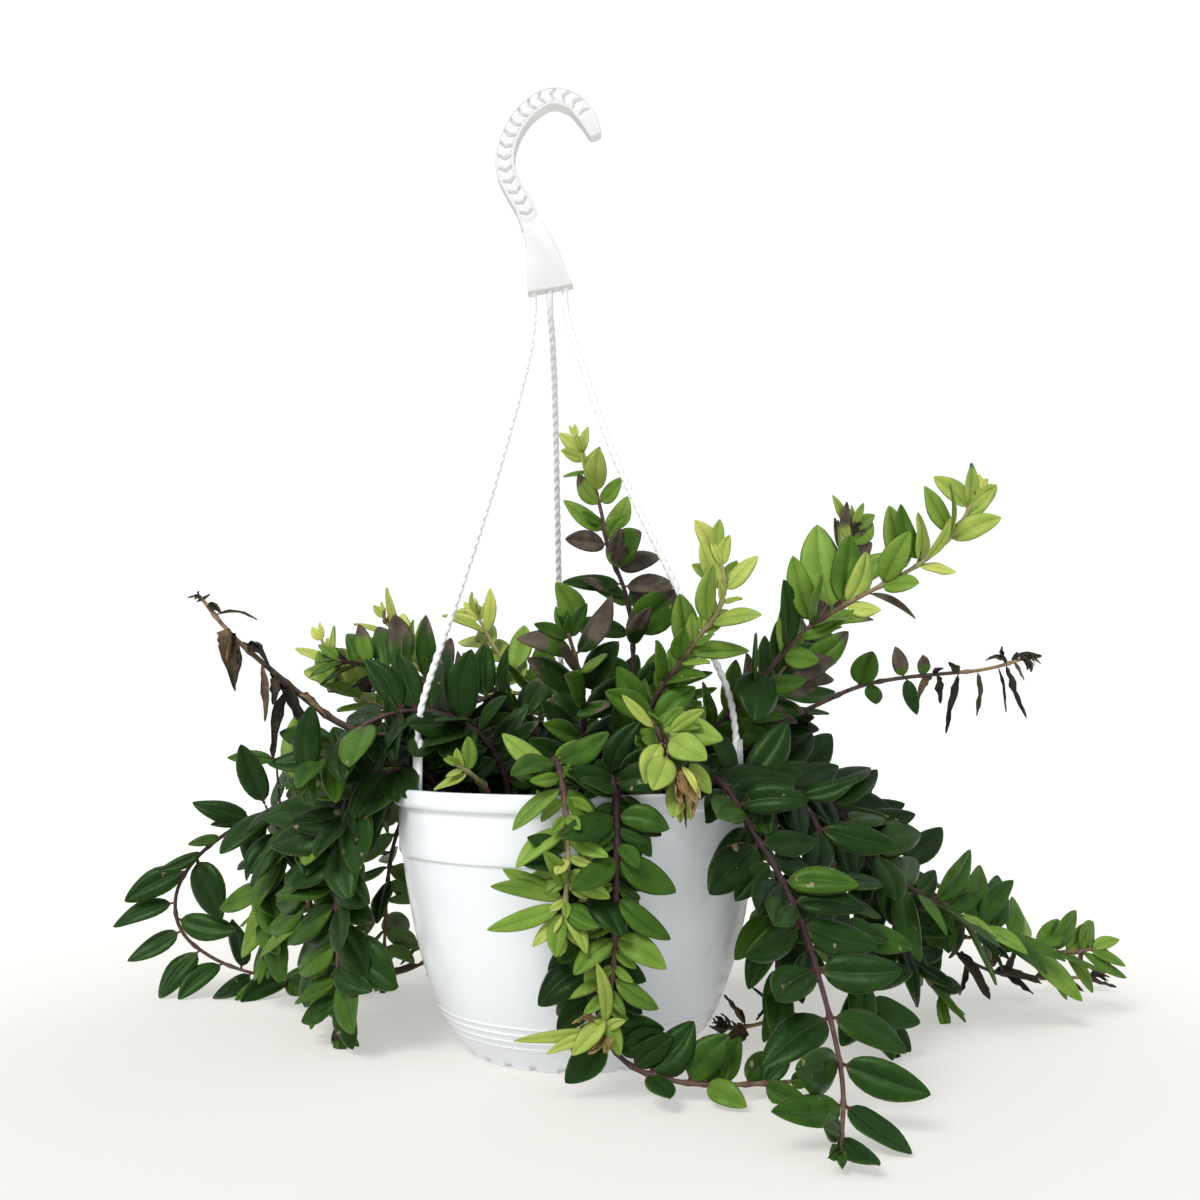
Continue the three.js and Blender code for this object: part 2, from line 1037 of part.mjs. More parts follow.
// A leaf blade on its pose: a ball drawn out flat from the root to the tip, with a folded, drooping midrib.
// Its section has a keel below and two edges, and with a fourth side a ridge above as well.
function bladeGeometry(pose, sides, extra = 0, start = 0) {
  const geometry = new THREE.SphereGeometry(1, sides, BLADE_BANDS);
  const position = geometry.getAttribute("position");
  const side = new THREE.Vector3().crossVectors(pose.along, pose.normal);
  const point = new THREE.Vector3();
  for (let i = 0; i < position.count; i++) {
    const band = Math.acos(THREE.MathUtils.clamp(position.getY(i), -1, 1)) / Math.PI;
    const along = start + (1 - start) * Math.pow(band, RING_SHIFT);
    const ring = Math.sin(band * Math.PI);
    const isPole = ring < 1e-3;
    const isKeel = !isPole && position.getX(i) < -0.9 * ring;
    const isRidge = !isPole && position.getX(i) > 0.9 * ring;
    const half = (pose.width / 2) * leafWidth(along) + extra;
    let sideways = 0;
    let lift = 0;
    if (isKeel) {
      lift = -LEAF_THICKNESS - extra;
    } else if (isRidge) {
      lift = pose.fold * half + extra;
    } else if (isPole) {
      lift = 0;
    } else {
      sideways = Math.sign(position.getZ(i)) * half;
      lift = pose.fold * half;
    }
    const turn = pose.twist * along;
    const droop = pose.droop * pose.length * along * along;
    point.copy(pose.root).addScaledVector(pose.along, along * pose.length);
    point.addScaledVector(side, sideways * Math.cos(turn) - lift * Math.sin(turn));
    point.addScaledVector(pose.normal, sideways * Math.sin(turn) + lift * Math.cos(turn) - droop);
    position.setXYZ(i, point.x, point.y, point.z);
  }
  return geometry;
}

// The direction that leaves at a place turn their upper faces to.
function lightAt(place, facing) {
  const outward = new THREE.Vector3(place.x, place.y, 0);
  outward.divideScalar(Math.max(outward.length(), MIDDLE_REACH));
  return outward.multiplyScalar(FACING_OUT).add(new THREE.Vector3(0, -facing, FACING_UP)).normalize();
}

// The part of a direction that stands square to an axis.
function squareTo(direction, axis) {
  return direction.clone().addScaledVector(axis, -direction.dot(axis)).normalize();
}

// Every pose that one leaf may take, the best one first.
function leafPoses(stem, low, high, done, pairNumber, sideSign, dice) {
  const place = low.clone().lerp(high, 0.5);
  const tangent = high.clone().sub(low).normalize();
  const habit = HABITS[stem.habit];
  const young = THREE.MathUtils.smoothstep(done, YOUNG_FROM, YOUNGEST_AT);
  const isDried = stem.driesFrom !== undefined && done > stem.driesFrom;
  const shape = isDried ? DRIED : FRESH;
  const turnDraw = dice.between(-TURN_DRAW, TURN_DRAW);
  const leanDraw = dice.between(-LEAN_DRAW, LEAN_DRAW);
  const sizeDraw = dice.between(...SIZE_DRAW);
  const rollDraw = dice.between(-ROLL_DRAW, ROLL_DRAW);
  const droopDraw = dice.between(...DROOP_DRAW);
  const twistDraw = dice.between(-1, 1);
  const light = lightAt(place, stem.facing ?? FACING_FRONT);
  const lit = squareTo(light, tangent);
  const spread = habit.spread[pairNumber % 2];
  const youngLean = habit.lean * (1 - YOUNG_LEAN * young);
  const hang = isDried ? DRIED.hang : 0;
  return LEAF_TRIES.map(([turnTry, leanTry, sizeTry]) => {
    const around = radians(sideSign * (spread + turnTry) + turnDraw);
    const lean = radians(Math.max(youngLean + leanDraw + leanTry, LEAST_LEAN));
    const outward = lit.clone().applyAxisAngle(tangent, around);
    const along = tangent.clone().multiplyScalar(Math.cos(lean)).addScaledVector(outward, Math.sin(lean));
    along.z -= hang * THREE.MathUtils.smoothstep(place.z, ...HANG_HEIGHTS);
    along.normalize();
    const normal = squareTo(light, along).applyAxisAngle(along, radians(rollDraw));
    const length = stem.leaf * sizeDraw * sizeTry * (1 - YOUNG_SIZE * young);
    return {
      root: place,
      along,
      normal,
      length,
      width: length * shape.across,
      fold: shape.fold,
      twist: shape.twist * twistDraw,
      droop: isDried ? DRIED.droop : droopDraw,
    };
  });
}

// The number of straight lengths in a stem. Each carries a pair of leaves at its middle.
function lengthCount(stem, curve) {
  return Math.round(curve.getLength() / stem.spacing);
}

// What a new leaf has to stay clear of: solids with their boxes, and the stem that they belong to.
const obstacles = [];
function addObstacle(solid, owner, isOwnLeaf = false) {
  obstacles.push({ solid, box: boxOf(solid), owner, isOwnLeaf });
}

// A leaf's whole blade stays clear of other stems, and its outer part of the leaves on its own stem.
function isClear(whole, outer, owner) {
  const box = boxOf(whole);
  if (box.min.z < FLOOR_CLEARANCE) return false;
  return !obstacles.some((obstacle) => {
    if ((obstacle.owner === owner) !== obstacle.isOwnLeaf) return false;
    return obstacle.box.intersectsBox(box) && overlaps(obstacle.isOwnLeaf ? outer : whole, obstacle.solid);
  });
}

// The leaves of one stem, each in the first of its poses that is clear; one with no clear pose is left out.
function growLeaves(stem, curve, seed) {
  const blades = [];
  const dice = new Dice(seed);
  const count = lengthCount(stem, curve);
  for (let i = 0; i < count; i++) {
    const done = (i + 0.5) / count;
    if (done * curve.getLength() < FIRST_LEAF) continue;
    const low = curve.getPointAt(i / count);
    const high = curve.getPointAt((i + 1) / count);
    for (const sideSign of [1, -1]) {
      for (const pose of leafPoses(stem, low, high, done, i, sideSign, dice)) {
        const whole = solidOf(bladeGeometry(pose, TEST_SIDES, LEAF_CLEARANCE));
        const outer = solidOf(bladeGeometry(pose, TEST_SIDES, LEAF_CLEARANCE / 2, LEAF_ROOT_FREE));
        if (isClear(whole, outer, stem.name)) {
          const blade = solidOf(bladeGeometry(pose, BLADE_SIDES));
          blades.push(blade);
          addObstacle(blade, stem.name);
          addObstacle(outer, stem.name, true);
          break;
        }
      }
    }
  }
  return blades;
}

const potWhite = new THREE.MeshStandardMaterial({ color: 0xf4f4f5, roughness: 0.35, metalness: 0 });
const hangerWhite = new THREE.MeshStandardMaterial({ color: 0xf2f2f2, roughness: 0.45, metalness: 0 });
const darkSoil = new THREE.MeshStandardMaterial({ color: 0x2a211b, roughness: 1, metalness: 0 });

const plant = new THREE.Group();
function addPiece(name, solid, material) {
  const mesh = new THREE.Mesh(geometryOf(solid), material);
  mesh.name = name;
  plant.add(mesh);
}

const pot = makePot();
const soil = makeSoil();
addPiece("pot", pot, potWhite);
addPiece("soil", soil, darkSoil);
addPiece("hanger_hook", makeHook(), hangerWhite);
addObstacle(pot, "pot");
addObstacle(soil, "soil");
for (const [side, arm] of Object.entries(ARMS)) {
  const solid = makeArm(arm);
  addPiece("hanger_arm_" + side, solid, hangerWhite);
  addObstacle(solid, "hanger");
}
const bars = STEMS.map((stem) => {
  const curve = stemCurve(stem);
  const bar = roundBar(curve, STEM_RADIUS, STEM_SIDES, lengthCount(stem, curve));
  addObstacle(bar, stem.name);
  return { curve, bar };
});
STEMS.forEach((stem, i) => {
  const { curve, bar } = bars[i];
  const blades = growLeaves(stem, curve, i + 1);
  const leafGreen = new THREE.MeshStandardMaterial({ color: LEAF_COLOURS[stem.tone], roughness: 0.45 });
  addPiece(stem.name, wasm.Manifold.union([bar, ...blades]), leafGreen);
});

export default plant;
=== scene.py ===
import math
from bisect import bisect_right

import bpy
import numpy as np
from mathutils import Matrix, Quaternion, Vector, kdtree, noise


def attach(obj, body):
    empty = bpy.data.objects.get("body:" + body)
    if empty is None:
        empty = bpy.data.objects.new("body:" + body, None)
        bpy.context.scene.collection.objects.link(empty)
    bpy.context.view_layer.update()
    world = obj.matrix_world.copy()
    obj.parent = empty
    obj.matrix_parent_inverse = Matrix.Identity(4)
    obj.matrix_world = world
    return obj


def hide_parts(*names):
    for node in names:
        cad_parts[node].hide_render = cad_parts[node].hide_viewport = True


MM = 0.001
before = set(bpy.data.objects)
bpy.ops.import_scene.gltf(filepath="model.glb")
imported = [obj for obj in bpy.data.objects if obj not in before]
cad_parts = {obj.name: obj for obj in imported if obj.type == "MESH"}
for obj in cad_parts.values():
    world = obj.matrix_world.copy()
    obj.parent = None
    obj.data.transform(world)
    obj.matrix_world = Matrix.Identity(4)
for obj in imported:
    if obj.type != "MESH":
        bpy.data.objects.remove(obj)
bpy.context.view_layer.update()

# Pot, as (radius, height) points from the underside up and over the rim.
POT_SEGMENTS = 360
POT_WALL = 1.7
POT_FLOOR = 2.4
FOOT_RADIUS = 59.6
FOOT_OUTLINE = [(30, 0), (50, 0), (56, 0), (58.9, 0), (59.5, 0.35)]
BOWL_OUTLINE = [(59.6, 0.7), (73.5, 20.6), (84.5, 48.6), (91.2, 78), (95.3, 101.8)]
BAND_OUTLINE = [
    (95.6, 102.1), (96.1, 102.3), (96.5, 102.6), (96.7, 103.1), (96.8, 106), (97.1, 116), (97.3, 125.5),
    (97.4, 127.1), (98.6, 127.3), (99.6, 127.6), (100.2, 128.6), (100.4, 130.2), (100.4, 133.0),
]
LIP_MIDDLE = (98.6, 134.5)
LIP_RADIUS = 1.85
LIP_TOP = (97.4, 136.4)
LIP_INNER_MIDDLE = (96.9, 135.4)
INSIDE_OUTLINE = [(95.7, 133), (95.5, 125), (95.2, 112), (95, 105)]
RIM_RADIUS = 100.4
BOWL_STEPS = 264
BOWL_SKIP = 8
RINGS_AT = [12.5, 16.2, 19.9, 23.6]
RING_HEIGHT = 0.55
RING_ZONE = (10, 27)
FOOT_NOTCHES = 26
NOTCH_HALF_ANGLE = 1.7
NOTCH_HEIGHT = 2.1
NOTCH_DEPTH = 3.4
NOTCH_LIFT = 1.3
DRAIN_HOLES = 6
DRAIN_RING_RADIUS = 36
DRAIN_HOLE_RADIUS = 4.5

# Soil.
SOIL_RINGS = 46
SOIL_SEGMENTS = 160
SOIL_RADIUS = 94.7
SOIL_EDGE_HEIGHT = 116
SOIL_MIDDLE_HEIGHT = 118
SOIL_FLAT_RADIUS = 60
SOIL_EDGE_BOTTOM = 105.6
SOIL_BOTTOM = 2.7
SOIL_SIDES = [(94.4, 101.6), (91, 78), (84.5, 48.6), (73.5, 20.6)]
SOIL_FOOT_RADIUS = 57.6
SOIL_GAP = 0.3
SOIL_CRUMBS = 900

# Hanger. The hook's points are (x, z) in the plane y = 0.
HOOK_LINE = [
    (-29.5, 452), (-31, 462), (-37, 473), (-42.5, 485), (-43.2, 498), (-38.5, 512),
    (-29.5, 524), (-17, 531), (-4, 527.5), (4.5, 517.5), (9.2, 506.5),
]
HOOK_THICKNESS = 11.4
HOOK_DEPTH = 9.6
HOOK_CORNER = 1.3
HOOK_TIP = 17
HOOK_STEP = 0.42
CHEVRON_PITCH = 7.2
CHEVRON_SLANT = 3.2
CHEVRON_DEPTH = 1.7
CHEVRON_WIDTH = 0.85
BORDER_DEPTH = 0.5
BLOCK_OUTLINE = [(-29.8, 413.3), (-4.1, 418), (-14, 443), (-25, 462), (-34.2, 457), (-31, 440)]
BLOCK_DEPTH = 8.4
BLOCK_ROWS = [(-1, 0.9), (-0.93, 0.3), (-0.8, 0), (0.8, 0), (0.93, 0.3), (1, 0.9)]
ARM_RADIUS = 1.9
ARM_STEP = 0.55
ARM_SIDES = 16
ARM_BOTTOM = 155.6
ROPE_PITCH = 11
ROPE_DEPTH = 0.34
ROPE_STARTS = (15, 22)
CLIP_REACH = 93.6
CLIP = ((2.2, 9, 34), CLIP_REACH, 144.6)
BARB = ((3.4, 9, 3.6), 93, 129.8)
LUG_SIZE = (6.6, 14, 2.4)
LUG_REACH = 93
LUG_HEIGHT = 133.2
LUG_EDGE = 0.5
SLOT_SIZE = (3, 9.8, 8)
ARMS = {
    "left": (209, [
        (-26.6, 0, 422), (-26.6, 0, 404), (-27, -4, 390), (-31, -9, 364), (-45, -22, 304),
        (-62, -34, 242), (-80, -43, 181),
    ]),
    "right": (331, [
        (-8.4, 0, 425), (-8.4, 0, 407), (-4, -4, 388), (3, -9, 365), (21, -20, 311),
        (52, -34, 241), (76, -43, 190),
    ]),
    "back": (98, [
        (-17.4, 0, 423), (-17.2, 0, 406), (-16, 9, 388), (-15, 26, 355), (-14, 60, 269), (-13, 84, 204),
    ]),
}

# Stems and leaves: the rule that the solids grow by.
STEM_BOTTOM = 111
STEM_STRAIGHT_TOP = 124
FIRST_LEAF = 34
FRESH = {"across": 0.43, "fold": 0.22, "twist": 0.25}
DRIED = {"across": 0.26, "fold": 0.7, "twist": 1.6, "droop": 0.25, "hang": 0.7}
HANG_HEIGHTS = (15, 60)
TURN_DRAW = 16
LEAN_DRAW = 10
ROLL_DRAW = 20
SIZE_DRAW = (0.84, 1.08)
DROOP_DRAW = (0.03, 0.2)
LEAST_LEAN = 12
YOUNG_FROM = 0.8
YOUNGEST_AT = 1.05
YOUNG_LEAN = 0.55
YOUNG_SIZE = 0.45
FACING_UP = 0.6
FACING_OUT = 0.55
FACING_FRONT = 0.7
MIDDLE_REACH = 60
LEAF_TRIES = [
    (0, 0, 1), (16, -8, 1), (-16, -8, 1), (0, -24, 0.95), (32, 6, 0.92), (-32, 6, 0.92),
    (48, -12, 0.86), (-48, -12, 0.86), (12, -36, 0.8), (70, 0, 0.78), (-70, 0, 0.78), (100, -20, 0.7),
]
HABITS = {
    "trailing": {"spread": (84, 58), "lean": 66},
    "rising": {"spread": (38, 78), "lean": 44},
    "upright": {"spread": (8, 92), "lean": 50},
}
# How far from its place in the solid a leaf's tip may be found, and still be that leaf.
FOUND_WITHIN = 0.08

# The finer leaves. Long gaps between the pairs of the solids get a pair in between, turned a quarter,
# and the bare foot of each stem gets older leaves.
SPACING_FOR_ONE = 17
SPACING_FOR_TWO = 25
EXTRA_FROM = 26
EXTRA_AROUND = 60
EXTRA_TURN = 25
EXTRA_LEAN = (-14, 8)
EXTRA_SIZE = (0.7, 1.0)
TUFT_SIZE = (0.35, 0.7)
FOOT_SIZE = (0.6, 0.9)
FOOT_AROUND = 90
FOOT_LEAVES_FROM = 12
FOOT_SPACING = 8
ROLL_MORE = 24
ODD_TONE = 0.22
ODD_ABOVE = 0.88
DRIED_LOOSE = 2.2
DRIED_HOOK = (0, 0.3)
DRIED_SAG = (0, 0.5)
DRIED_WIDE = (0.6, 1.9)
DRIED_SIZE = (0.4, 0.8)
DRIED_KEPT = 0.55
BLADE_ROWS = 13
ACROSS_TOP = [-1, -0.84, -0.48, -0.1, 0, 0.1, 0.48, 0.84, 1]
ACROSS_BELOW = [0.84, 0.48, 0, -0.48, -0.84]
BELOW_SHIFT = 3.0
PETIOLE = 0.08
WIDER = 1.08
LEAF_THICKNESS = 0.9
STEM_RADIUS = 1.6
STEM_TIP_RADIUS = 0.95
STEM_SIDES = 9
STEM_STEP = 1.7
NODE_SWELLING = 0.45
SHOOT_RADIUS = 0.7
SHOOT_SIDES = 6
SHOOT_FROM = 8
PLACED_FACING = 1.6
LOWEST = 0.35
# The youngest leaves, from the tip down: part of the full length, whether they stand level, and lean.
TIP_PAIRS = [(0.34, True, 14), (0.46, False, 30), (0.6, True, 44)]
TIP_START = 0.6
TIP_SPACING = 2.2
TIP_ACROSS = 0.4
TIP_SIZE = (0.8, 1.05)
TIP_PALER = 0.08
CROWN_ACROSS = 0.36
# What is drawn for each finer leaf's form, and how far it bends and sways, as parts of its length.
SHAPE_DRAWS = {
    "phase": (0, 6.3), "wave": (0, 0.08), "crown": (0.12, 0.34), "edge": (0.05, 0.3), "open": (0.2, 1.2),
    "curl": (1.2, 3.4),
}
BEND = 0.09
SWAY = 0.05
WIDTH_DRAW = (0.86, 1.1)
# How far a finer leaf keeps from the arms and the pot, and where a stem counts as inside the pot.
CLEAR_BY = 2
INSIDE_RADIUS = 92
INSIDE_HEIGHT = 138

# Studio: the floor's half width in metres, and how strongly the sky shows.
FLOOR_REACH = 12
SKY_SHOWN = 1.1

# Each stem's leaves go from the first tone at its foot to the second at its tip: 0 is dark, 1 yellow.
TONES = {"dark": (0.05, 0.26), "mid": (0.24, 0.56), "pale": (0.34, 0.84)}
NEVER = 9


def stem(name, root, habit, spacing, leaf, tone, route, **own):
    """A stem of the table below, with the usual values where it has none of its own."""
    usual = {
        "name": "stem_" + name, "root": root, "habit": habit, "spacing": spacing, "leaf": leaf, "tone": tone,
        "route": route, "dries_from": NEVER, "facing": FACING_FRONT, "tones": TONES[tone],
        "wilted": (NEVER, NEVER), "sparse_from": 1, "placed_from": 1, "wide": 1, "long": 1, "low_long": 1,
        "stout": 1, "crown": (0, 0), "is_tufted": False, "has_bud": False,
    }
    return {**usual, **own}


# Each stem's name, root in the soil, habit, distance between pairs, leaf length, tone and route.
# What is its own follows, some of it as parts of the stem's length. Past dries_from its leaves are dead,
# and between wilted's two parts they are purple brown from the tip inwards. Past sparse_from it gets no
# more pairs than its solid's, and past placed_from the listed leaves stand for its solid's.
# wide and long scale its leaves, low_long those that don't rise on its upper half, and stout the middle
# of the stem. crown is how many crisp dead leaves end it, and how long they are at the most.
# A tufted stem has more and smaller leaves, and one with a bud has a single young pair at its tip.
STEMS = [
    stem("front_hanging", (12, -66), "trailing", 18, 35, "mid", [
        (15, -84, 143), (17, -103, 146), (19, -112, 130), (19, -114, 108), (18, -113, 86), (18, -112, 66),
        (15, -109, 44), (13, -107, 30),
    ], tones=(0.14, 0.64), wide=0.84, long=0.84, is_tufted=True, has_bud=True),
    stem("front_left_sprig", (-12, -62), "trailing", 18, 33, "pale", [
        (-13, -78, 140), (-11, -94, 156), (-7, -106, 150), (-4, -112, 128), (-3, -113, 104), (-6, -112, 76),
    ], tones=(0.38, 0.82), wide=0.8, long=0.86, is_tufted=True),
    stem("front_floor", (26, -72), "trailing", 26, 35, "dark", [
        (24, -84, 141), (22, -99, 145), (17, -105, 133), (12, -105, 106), (8, -103, 76), (8, -101, 46),
        (14, -101, 22), (32, -104, 11), (58, -106, 8), (80, -104, 8), (98, -100, 8),
    ], tones=(0.03, 0.24), long=0.86, has_bud=True),
    stem("front_right_trailing", (54, -52), "trailing", 21, 37, "dark", [
        (62, -64, 142), (68, -78, 146), (74, -86, 136), (82, -92, 120), (93, -100, 103), (100, -108, 86),
        (106, -116, 67), (111, -126, 44), (113, -143, 24), (109, -163, 12), (103, -186, 8),
    ], tones=(0.02, 0.2), sparse_from=0.6, wide=1.06, crown=(7, 5), has_bud=True),
    stem("front_tip_cluster", (44, -46), "trailing", 18, 33, "pale", [
        (44, -54, 146), (38, -66, 170), (37, -80, 173), (41, -92, 162), (45, -104, 148), (48, -110, 135),
    ], tones=(0.4, 0.72), sparse_from=0.7, placed_from=0.72, has_bud=True),
    stem("centre_pale", (22, -40), "rising", 18, 35, "pale", [
        (26, -46, 145), (37, -54, 179), (47, -58, 193), (57, -62, 209), (68, -64, 220), (75, -66, 233),
        (74, -66, 247), (66, -64, 261),
    ], wide=0.85, long=0.86, crown=(16, 11), is_tufted=True, has_bud=True),
    stem("upright_centre", (26, 14), "upright", 22, 33, "mid", [
        (28, 12, 150), (30, 8, 190), (29, 7, 228), (24, 5, 250), (14, 2, 269), (12, 0, 292), (6, -2, 308),
        (-2, -4, 330),
    ], tones=(0.16, 0.85), wilted=(0.4, 0.72), sparse_from=0.2, wide=0.78, long=0.82, has_bud=True),
    stem("right_rising", (46, -14), "rising", 21, 39, "pale", [
        (56, -21, 142), (74, -28, 170), (91, -34, 186), (112, -40, 213), (138, -44, 231), (164, -46, 244),
        (189, -46, 260), (204, -44, 279), (210, -42, 291),
    ], tones=(0.36, 0.84), sparse_from=0.25, wide=0.88, long=0.86, crown=(5, 9), low_long=0.62,
        has_bud=True),
    stem("right_rising_back", (48, 26), "rising", 29, 40, "mid", [
        (56, 29, 150), (84, 33, 168), (113, 36, 183), (129, 44, 213), (149, 52, 242), (163, 58, 275),
        (166, 60, 292),
    ], wilted=(0.5, 1.0), crown=(16, 12)),
    stem("right_drying", (62, 12), "trailing", 28, 38, "dark", [
        (70, 12, 146), (92, 12, 164), (123, 14, 174), (150, 20, 189), (184, 28, 196), (215, 36, 199),
        (245, 42, 202), (265, 46, 209),
    ], dries_from=0.45, wilted=(0.2, 0.45), long=0.85, crown=(16, 11), placed_from=0.36),
    stem("right_trailing", (76, -12), "trailing", 24, 41, "dark", [
        (86, -13, 146), (101, -14, 148), (122, -16, 139), (146, -15, 114), (175, -4, 84), (213, 14, 61),
        (250, 34, 47), (278, 50, 37), (303, 60, 38),
    ], tones=(0.03, 0.52)),
    stem("right_floor_dead", (72, 41), "trailing", 32, 37, "dark", [
        (80, 45, 144), (93, 51, 148), (122, 56, 134), (160, 64, 108), (194, 80, 68), (226, 96, 32),
        (260, 110, 13), (296, 120, 8), (333, 128, 9),
    ], dries_from=0.6, crown=(16, 12)),
    stem("left_drying", (-58, -10), "trailing", 25, 37, "dark", [
        (-62, -14, 146), (-84, -20, 160), (-108, -24, 162), (-129, -27, 170), (-149, -30, 187),
        (-170, -34, 205), (-191, -38, 224), (-198, -40, 236),
    ], dries_from=0.4, wilted=(0.15, 0.4), long=0.8, crown=(5, 5), placed_from=0.42, stout=1.45),
    stem("left_level", (-14, 30), "trailing", 27, 38, "dark", [
        (-18, 31, 150), (-34, 32, 176), (-64, 34, 186), (-94, 36, 194), (-120, 38, 202), (-144, 40, 207),
    ], wilted=(0.3, 1.0), crown=(12, 10)),
    stem("left_far_arc", (-60, 34), "trailing", 26, 48, "dark", [
        (-70, 40, 144), (-88, 50, 150), (-116, 58, 142), (-145, 66, 134), (-173, 80, 123), (-208, 92, 110),
        (-243, 101, 86), (-259, 106, 54), (-246, 111, 30), (-214, 114, 14), (-184, 116, 9),
    ], tones=(0.08, 0.28), wide=1.12, placed_from=0.5),
    stem("left_inner", (-74, 8), "trailing", 27, 43, "mid", [
        (-84, 12, 144), (-100, 18, 148), (-122, 27, 139), (-146, 36, 128), (-171, 52, 116), (-184, 62, 95),
        (-186, 68, 71), (-188, 70, 47), (-186, 70, 32),
    ], tones=(0.16, 0.4), wide=1.15),
    stem("left_vertical", (-64, -28), "trailing", 20, 40, "dark", [
        (-78, -31, 144), (-94, -34, 148), (-112, -33, 140), (-121, -28, 124), (-125, -24, 104),
        (-127, -22, 78), (-126, -20, 52), (-125, -18, 26), (-126, -16, 7),
    ], tones=(0.1, 0.28), wide=1.25, crown=(7, 5), has_bud=True),
    stem("left_middle", (-76, -8), "trailing", 27, 41, "dark", [
        (-86, -10, 145), (-101, -11, 148), (-122, -9, 138), (-138, -4, 118), (-146, 2, 92), (-148, 6, 64),
        (-146, 8, 40), (-142, 8, 22),
    ], tones=(0.12, 0.36), wide=1.2),
    stem("left_low", (-36, -16), "trailing", 30, 39, "dark", [
        (-40, -20, 150), (-60, -26, 172), (-90, -28, 178), (-116, -36, 168), (-138, -46, 142),
    ], tones=(0.06, 0.2), wide=1.08),
    stem("left_pale", (-44, 44), "rising", 30, 38, "pale", [
        (-50, 48, 150), (-74, 56, 172), (-104, 62, 176), (-130, 64, 180), (-148, 62, 196), (-157, 60, 220),
    ], long=0.85, has_bud=True),
    stem("left_back_tall", (-30, 58), "rising", 32, 38, "pale", [
        (-36, 62, 150), (-62, 72, 176), (-92, 80, 196), (-112, 84, 212), (-124, 86, 236),
    ], wilted=(0.35, 0.7), crown=(8, 9), has_bud=True),
    stem("back_left_tall", (-4, 52), "rising", 32, 38, "pale", [
        (-8, 58, 160), (-30, 68, 190), (-52, 78, 212), (-66, 84, 238),
    ]),
    stem("right_cascade_front", (68, -30), "trailing", 27, 40, "dark", [
        (80, -33, 144), (95, -37, 147), (110, -44, 138), (122, -50, 118), (130, -52, 92), (136, -50, 64),
        (142, -46, 38), (150, -38, 18), (160, -26, 9),
    ], tones=(0.0, 0.16)),
    stem("right_cascade_middle", (80, 4), "trailing", 30, 41, "dark", [
        (90, 4, 145), (104, 5, 148), (126, 6, 138), (148, 12, 116), (164, 18, 88), (176, 26, 60),
        (190, 34, 34), (208, 44, 12),
    ], tones=(0.0, 0.16)),
    stem("right_cascade_back", (76, 24), "trailing", 31, 42, "dark", [
        (86, 27, 145), (101, 31, 149), (126, 38, 142), (152, 44, 124), (176, 54, 100), (200, 64, 78),
        (226, 72, 56), (248, 80, 38),
    ], tones=(0.0, 0.16)),
    stem("right_low", (70, -56), "trailing", 31, 37, "dark", [
        (74, -58, 146), (84, -64, 150), (94, -66, 140), (99, -62, 120), (101, -52, 96), (101, -40, 70),
        (103, -28, 44), (106, -12, 20), (107, 4, 8), (99, 13, 7), (86, 9, 7), (77, -1, 7),
    ], dries_from=0.75, crown=(14, 10)),
    stem("centre_low", (0, -26), "upright", 28, 37, "dark", [
        (2, -34, 150), (4, -46, 180), (0, -58, 200), (-5, -66, 216),
    ], wilted=(0.55, 0.9)),
    stem("right_bushy", (56, 2), "rising", 28, 39, "dark", [
        (64, -1, 150), (86, -6, 172), (104, -12, 190), (116, -16, 206),
    ], tones=(0.03, 0.2), wilted=(0.5, 1.0), crown=(16, 12)),
    stem("inner_sprig", (-40, -52), "trailing", 16, 20, "pale", [
        (-42, -56, 132), (-50, -62, 144), (-60, -68, 150),
    ], tones=(0.3, 0.62)),
    stem("back_left_dead", (-46, 70), "trailing", 34, 33, "dark", [
        (-52, 78, 144), (-60, 88, 148), (-72, 104, 130), (-82, 120, 96), (-88, 134, 56), (-92, 142, 24),
        (-104, 146, 8), (-128, 147, 5), (-150, 146, 5),
    ], dries_from=0.55, facing=0, crown=(12, 9)),
    stem("back_left_trailing", (-66, 52), "trailing", 33, 37, "dark", [
        (-74, 60, 145), (-83, 68, 148), (-98, 82, 136), (-114, 96, 110), (-122, 104, 78), (-124, 108, 46),
        (-124, 112, 20), (-128, 120, 8),
    ], facing=0),
    stem("back_middle", (-24, 74), "trailing", 33, 37, "dark", [
        (-28, 84, 145), (-34, 98, 148), (-38, 114, 132), (-40, 126, 100), (-40, 134, 66), (-38, 140, 34),
        (-34, 148, 14), (-26, 160, 8),
    ], facing=0),
    stem("back_right", (22, 74), "trailing", 33, 37, "mid", [
        (26, 84, 145), (30, 98, 149), (36, 114, 134), (44, 128, 104), (52, 138, 70), (58, 146, 38),
        (64, 156, 16), (72, 170, 8),
    ], facing=0),
    stem("back_right_outer", (50, 58), "trailing", 33, 37, "dark", [
        (58, 68, 145), (68, 79, 149), (82, 92, 136), (98, 106, 110), (112, 118, 80), (124, 128, 48),
        (136, 138, 22), (150, 148, 9),
    ], facing=0),
    stem("back_arching", (12, 44), "trailing", 33, 36, "dark", [
        (14, 50, 150), (22, 64, 178), (34, 82, 194), (48, 98, 196), (62, 110, 186), (72, 118, 166),
    ], facing=0, tones=(0.2, 0.5)),
]

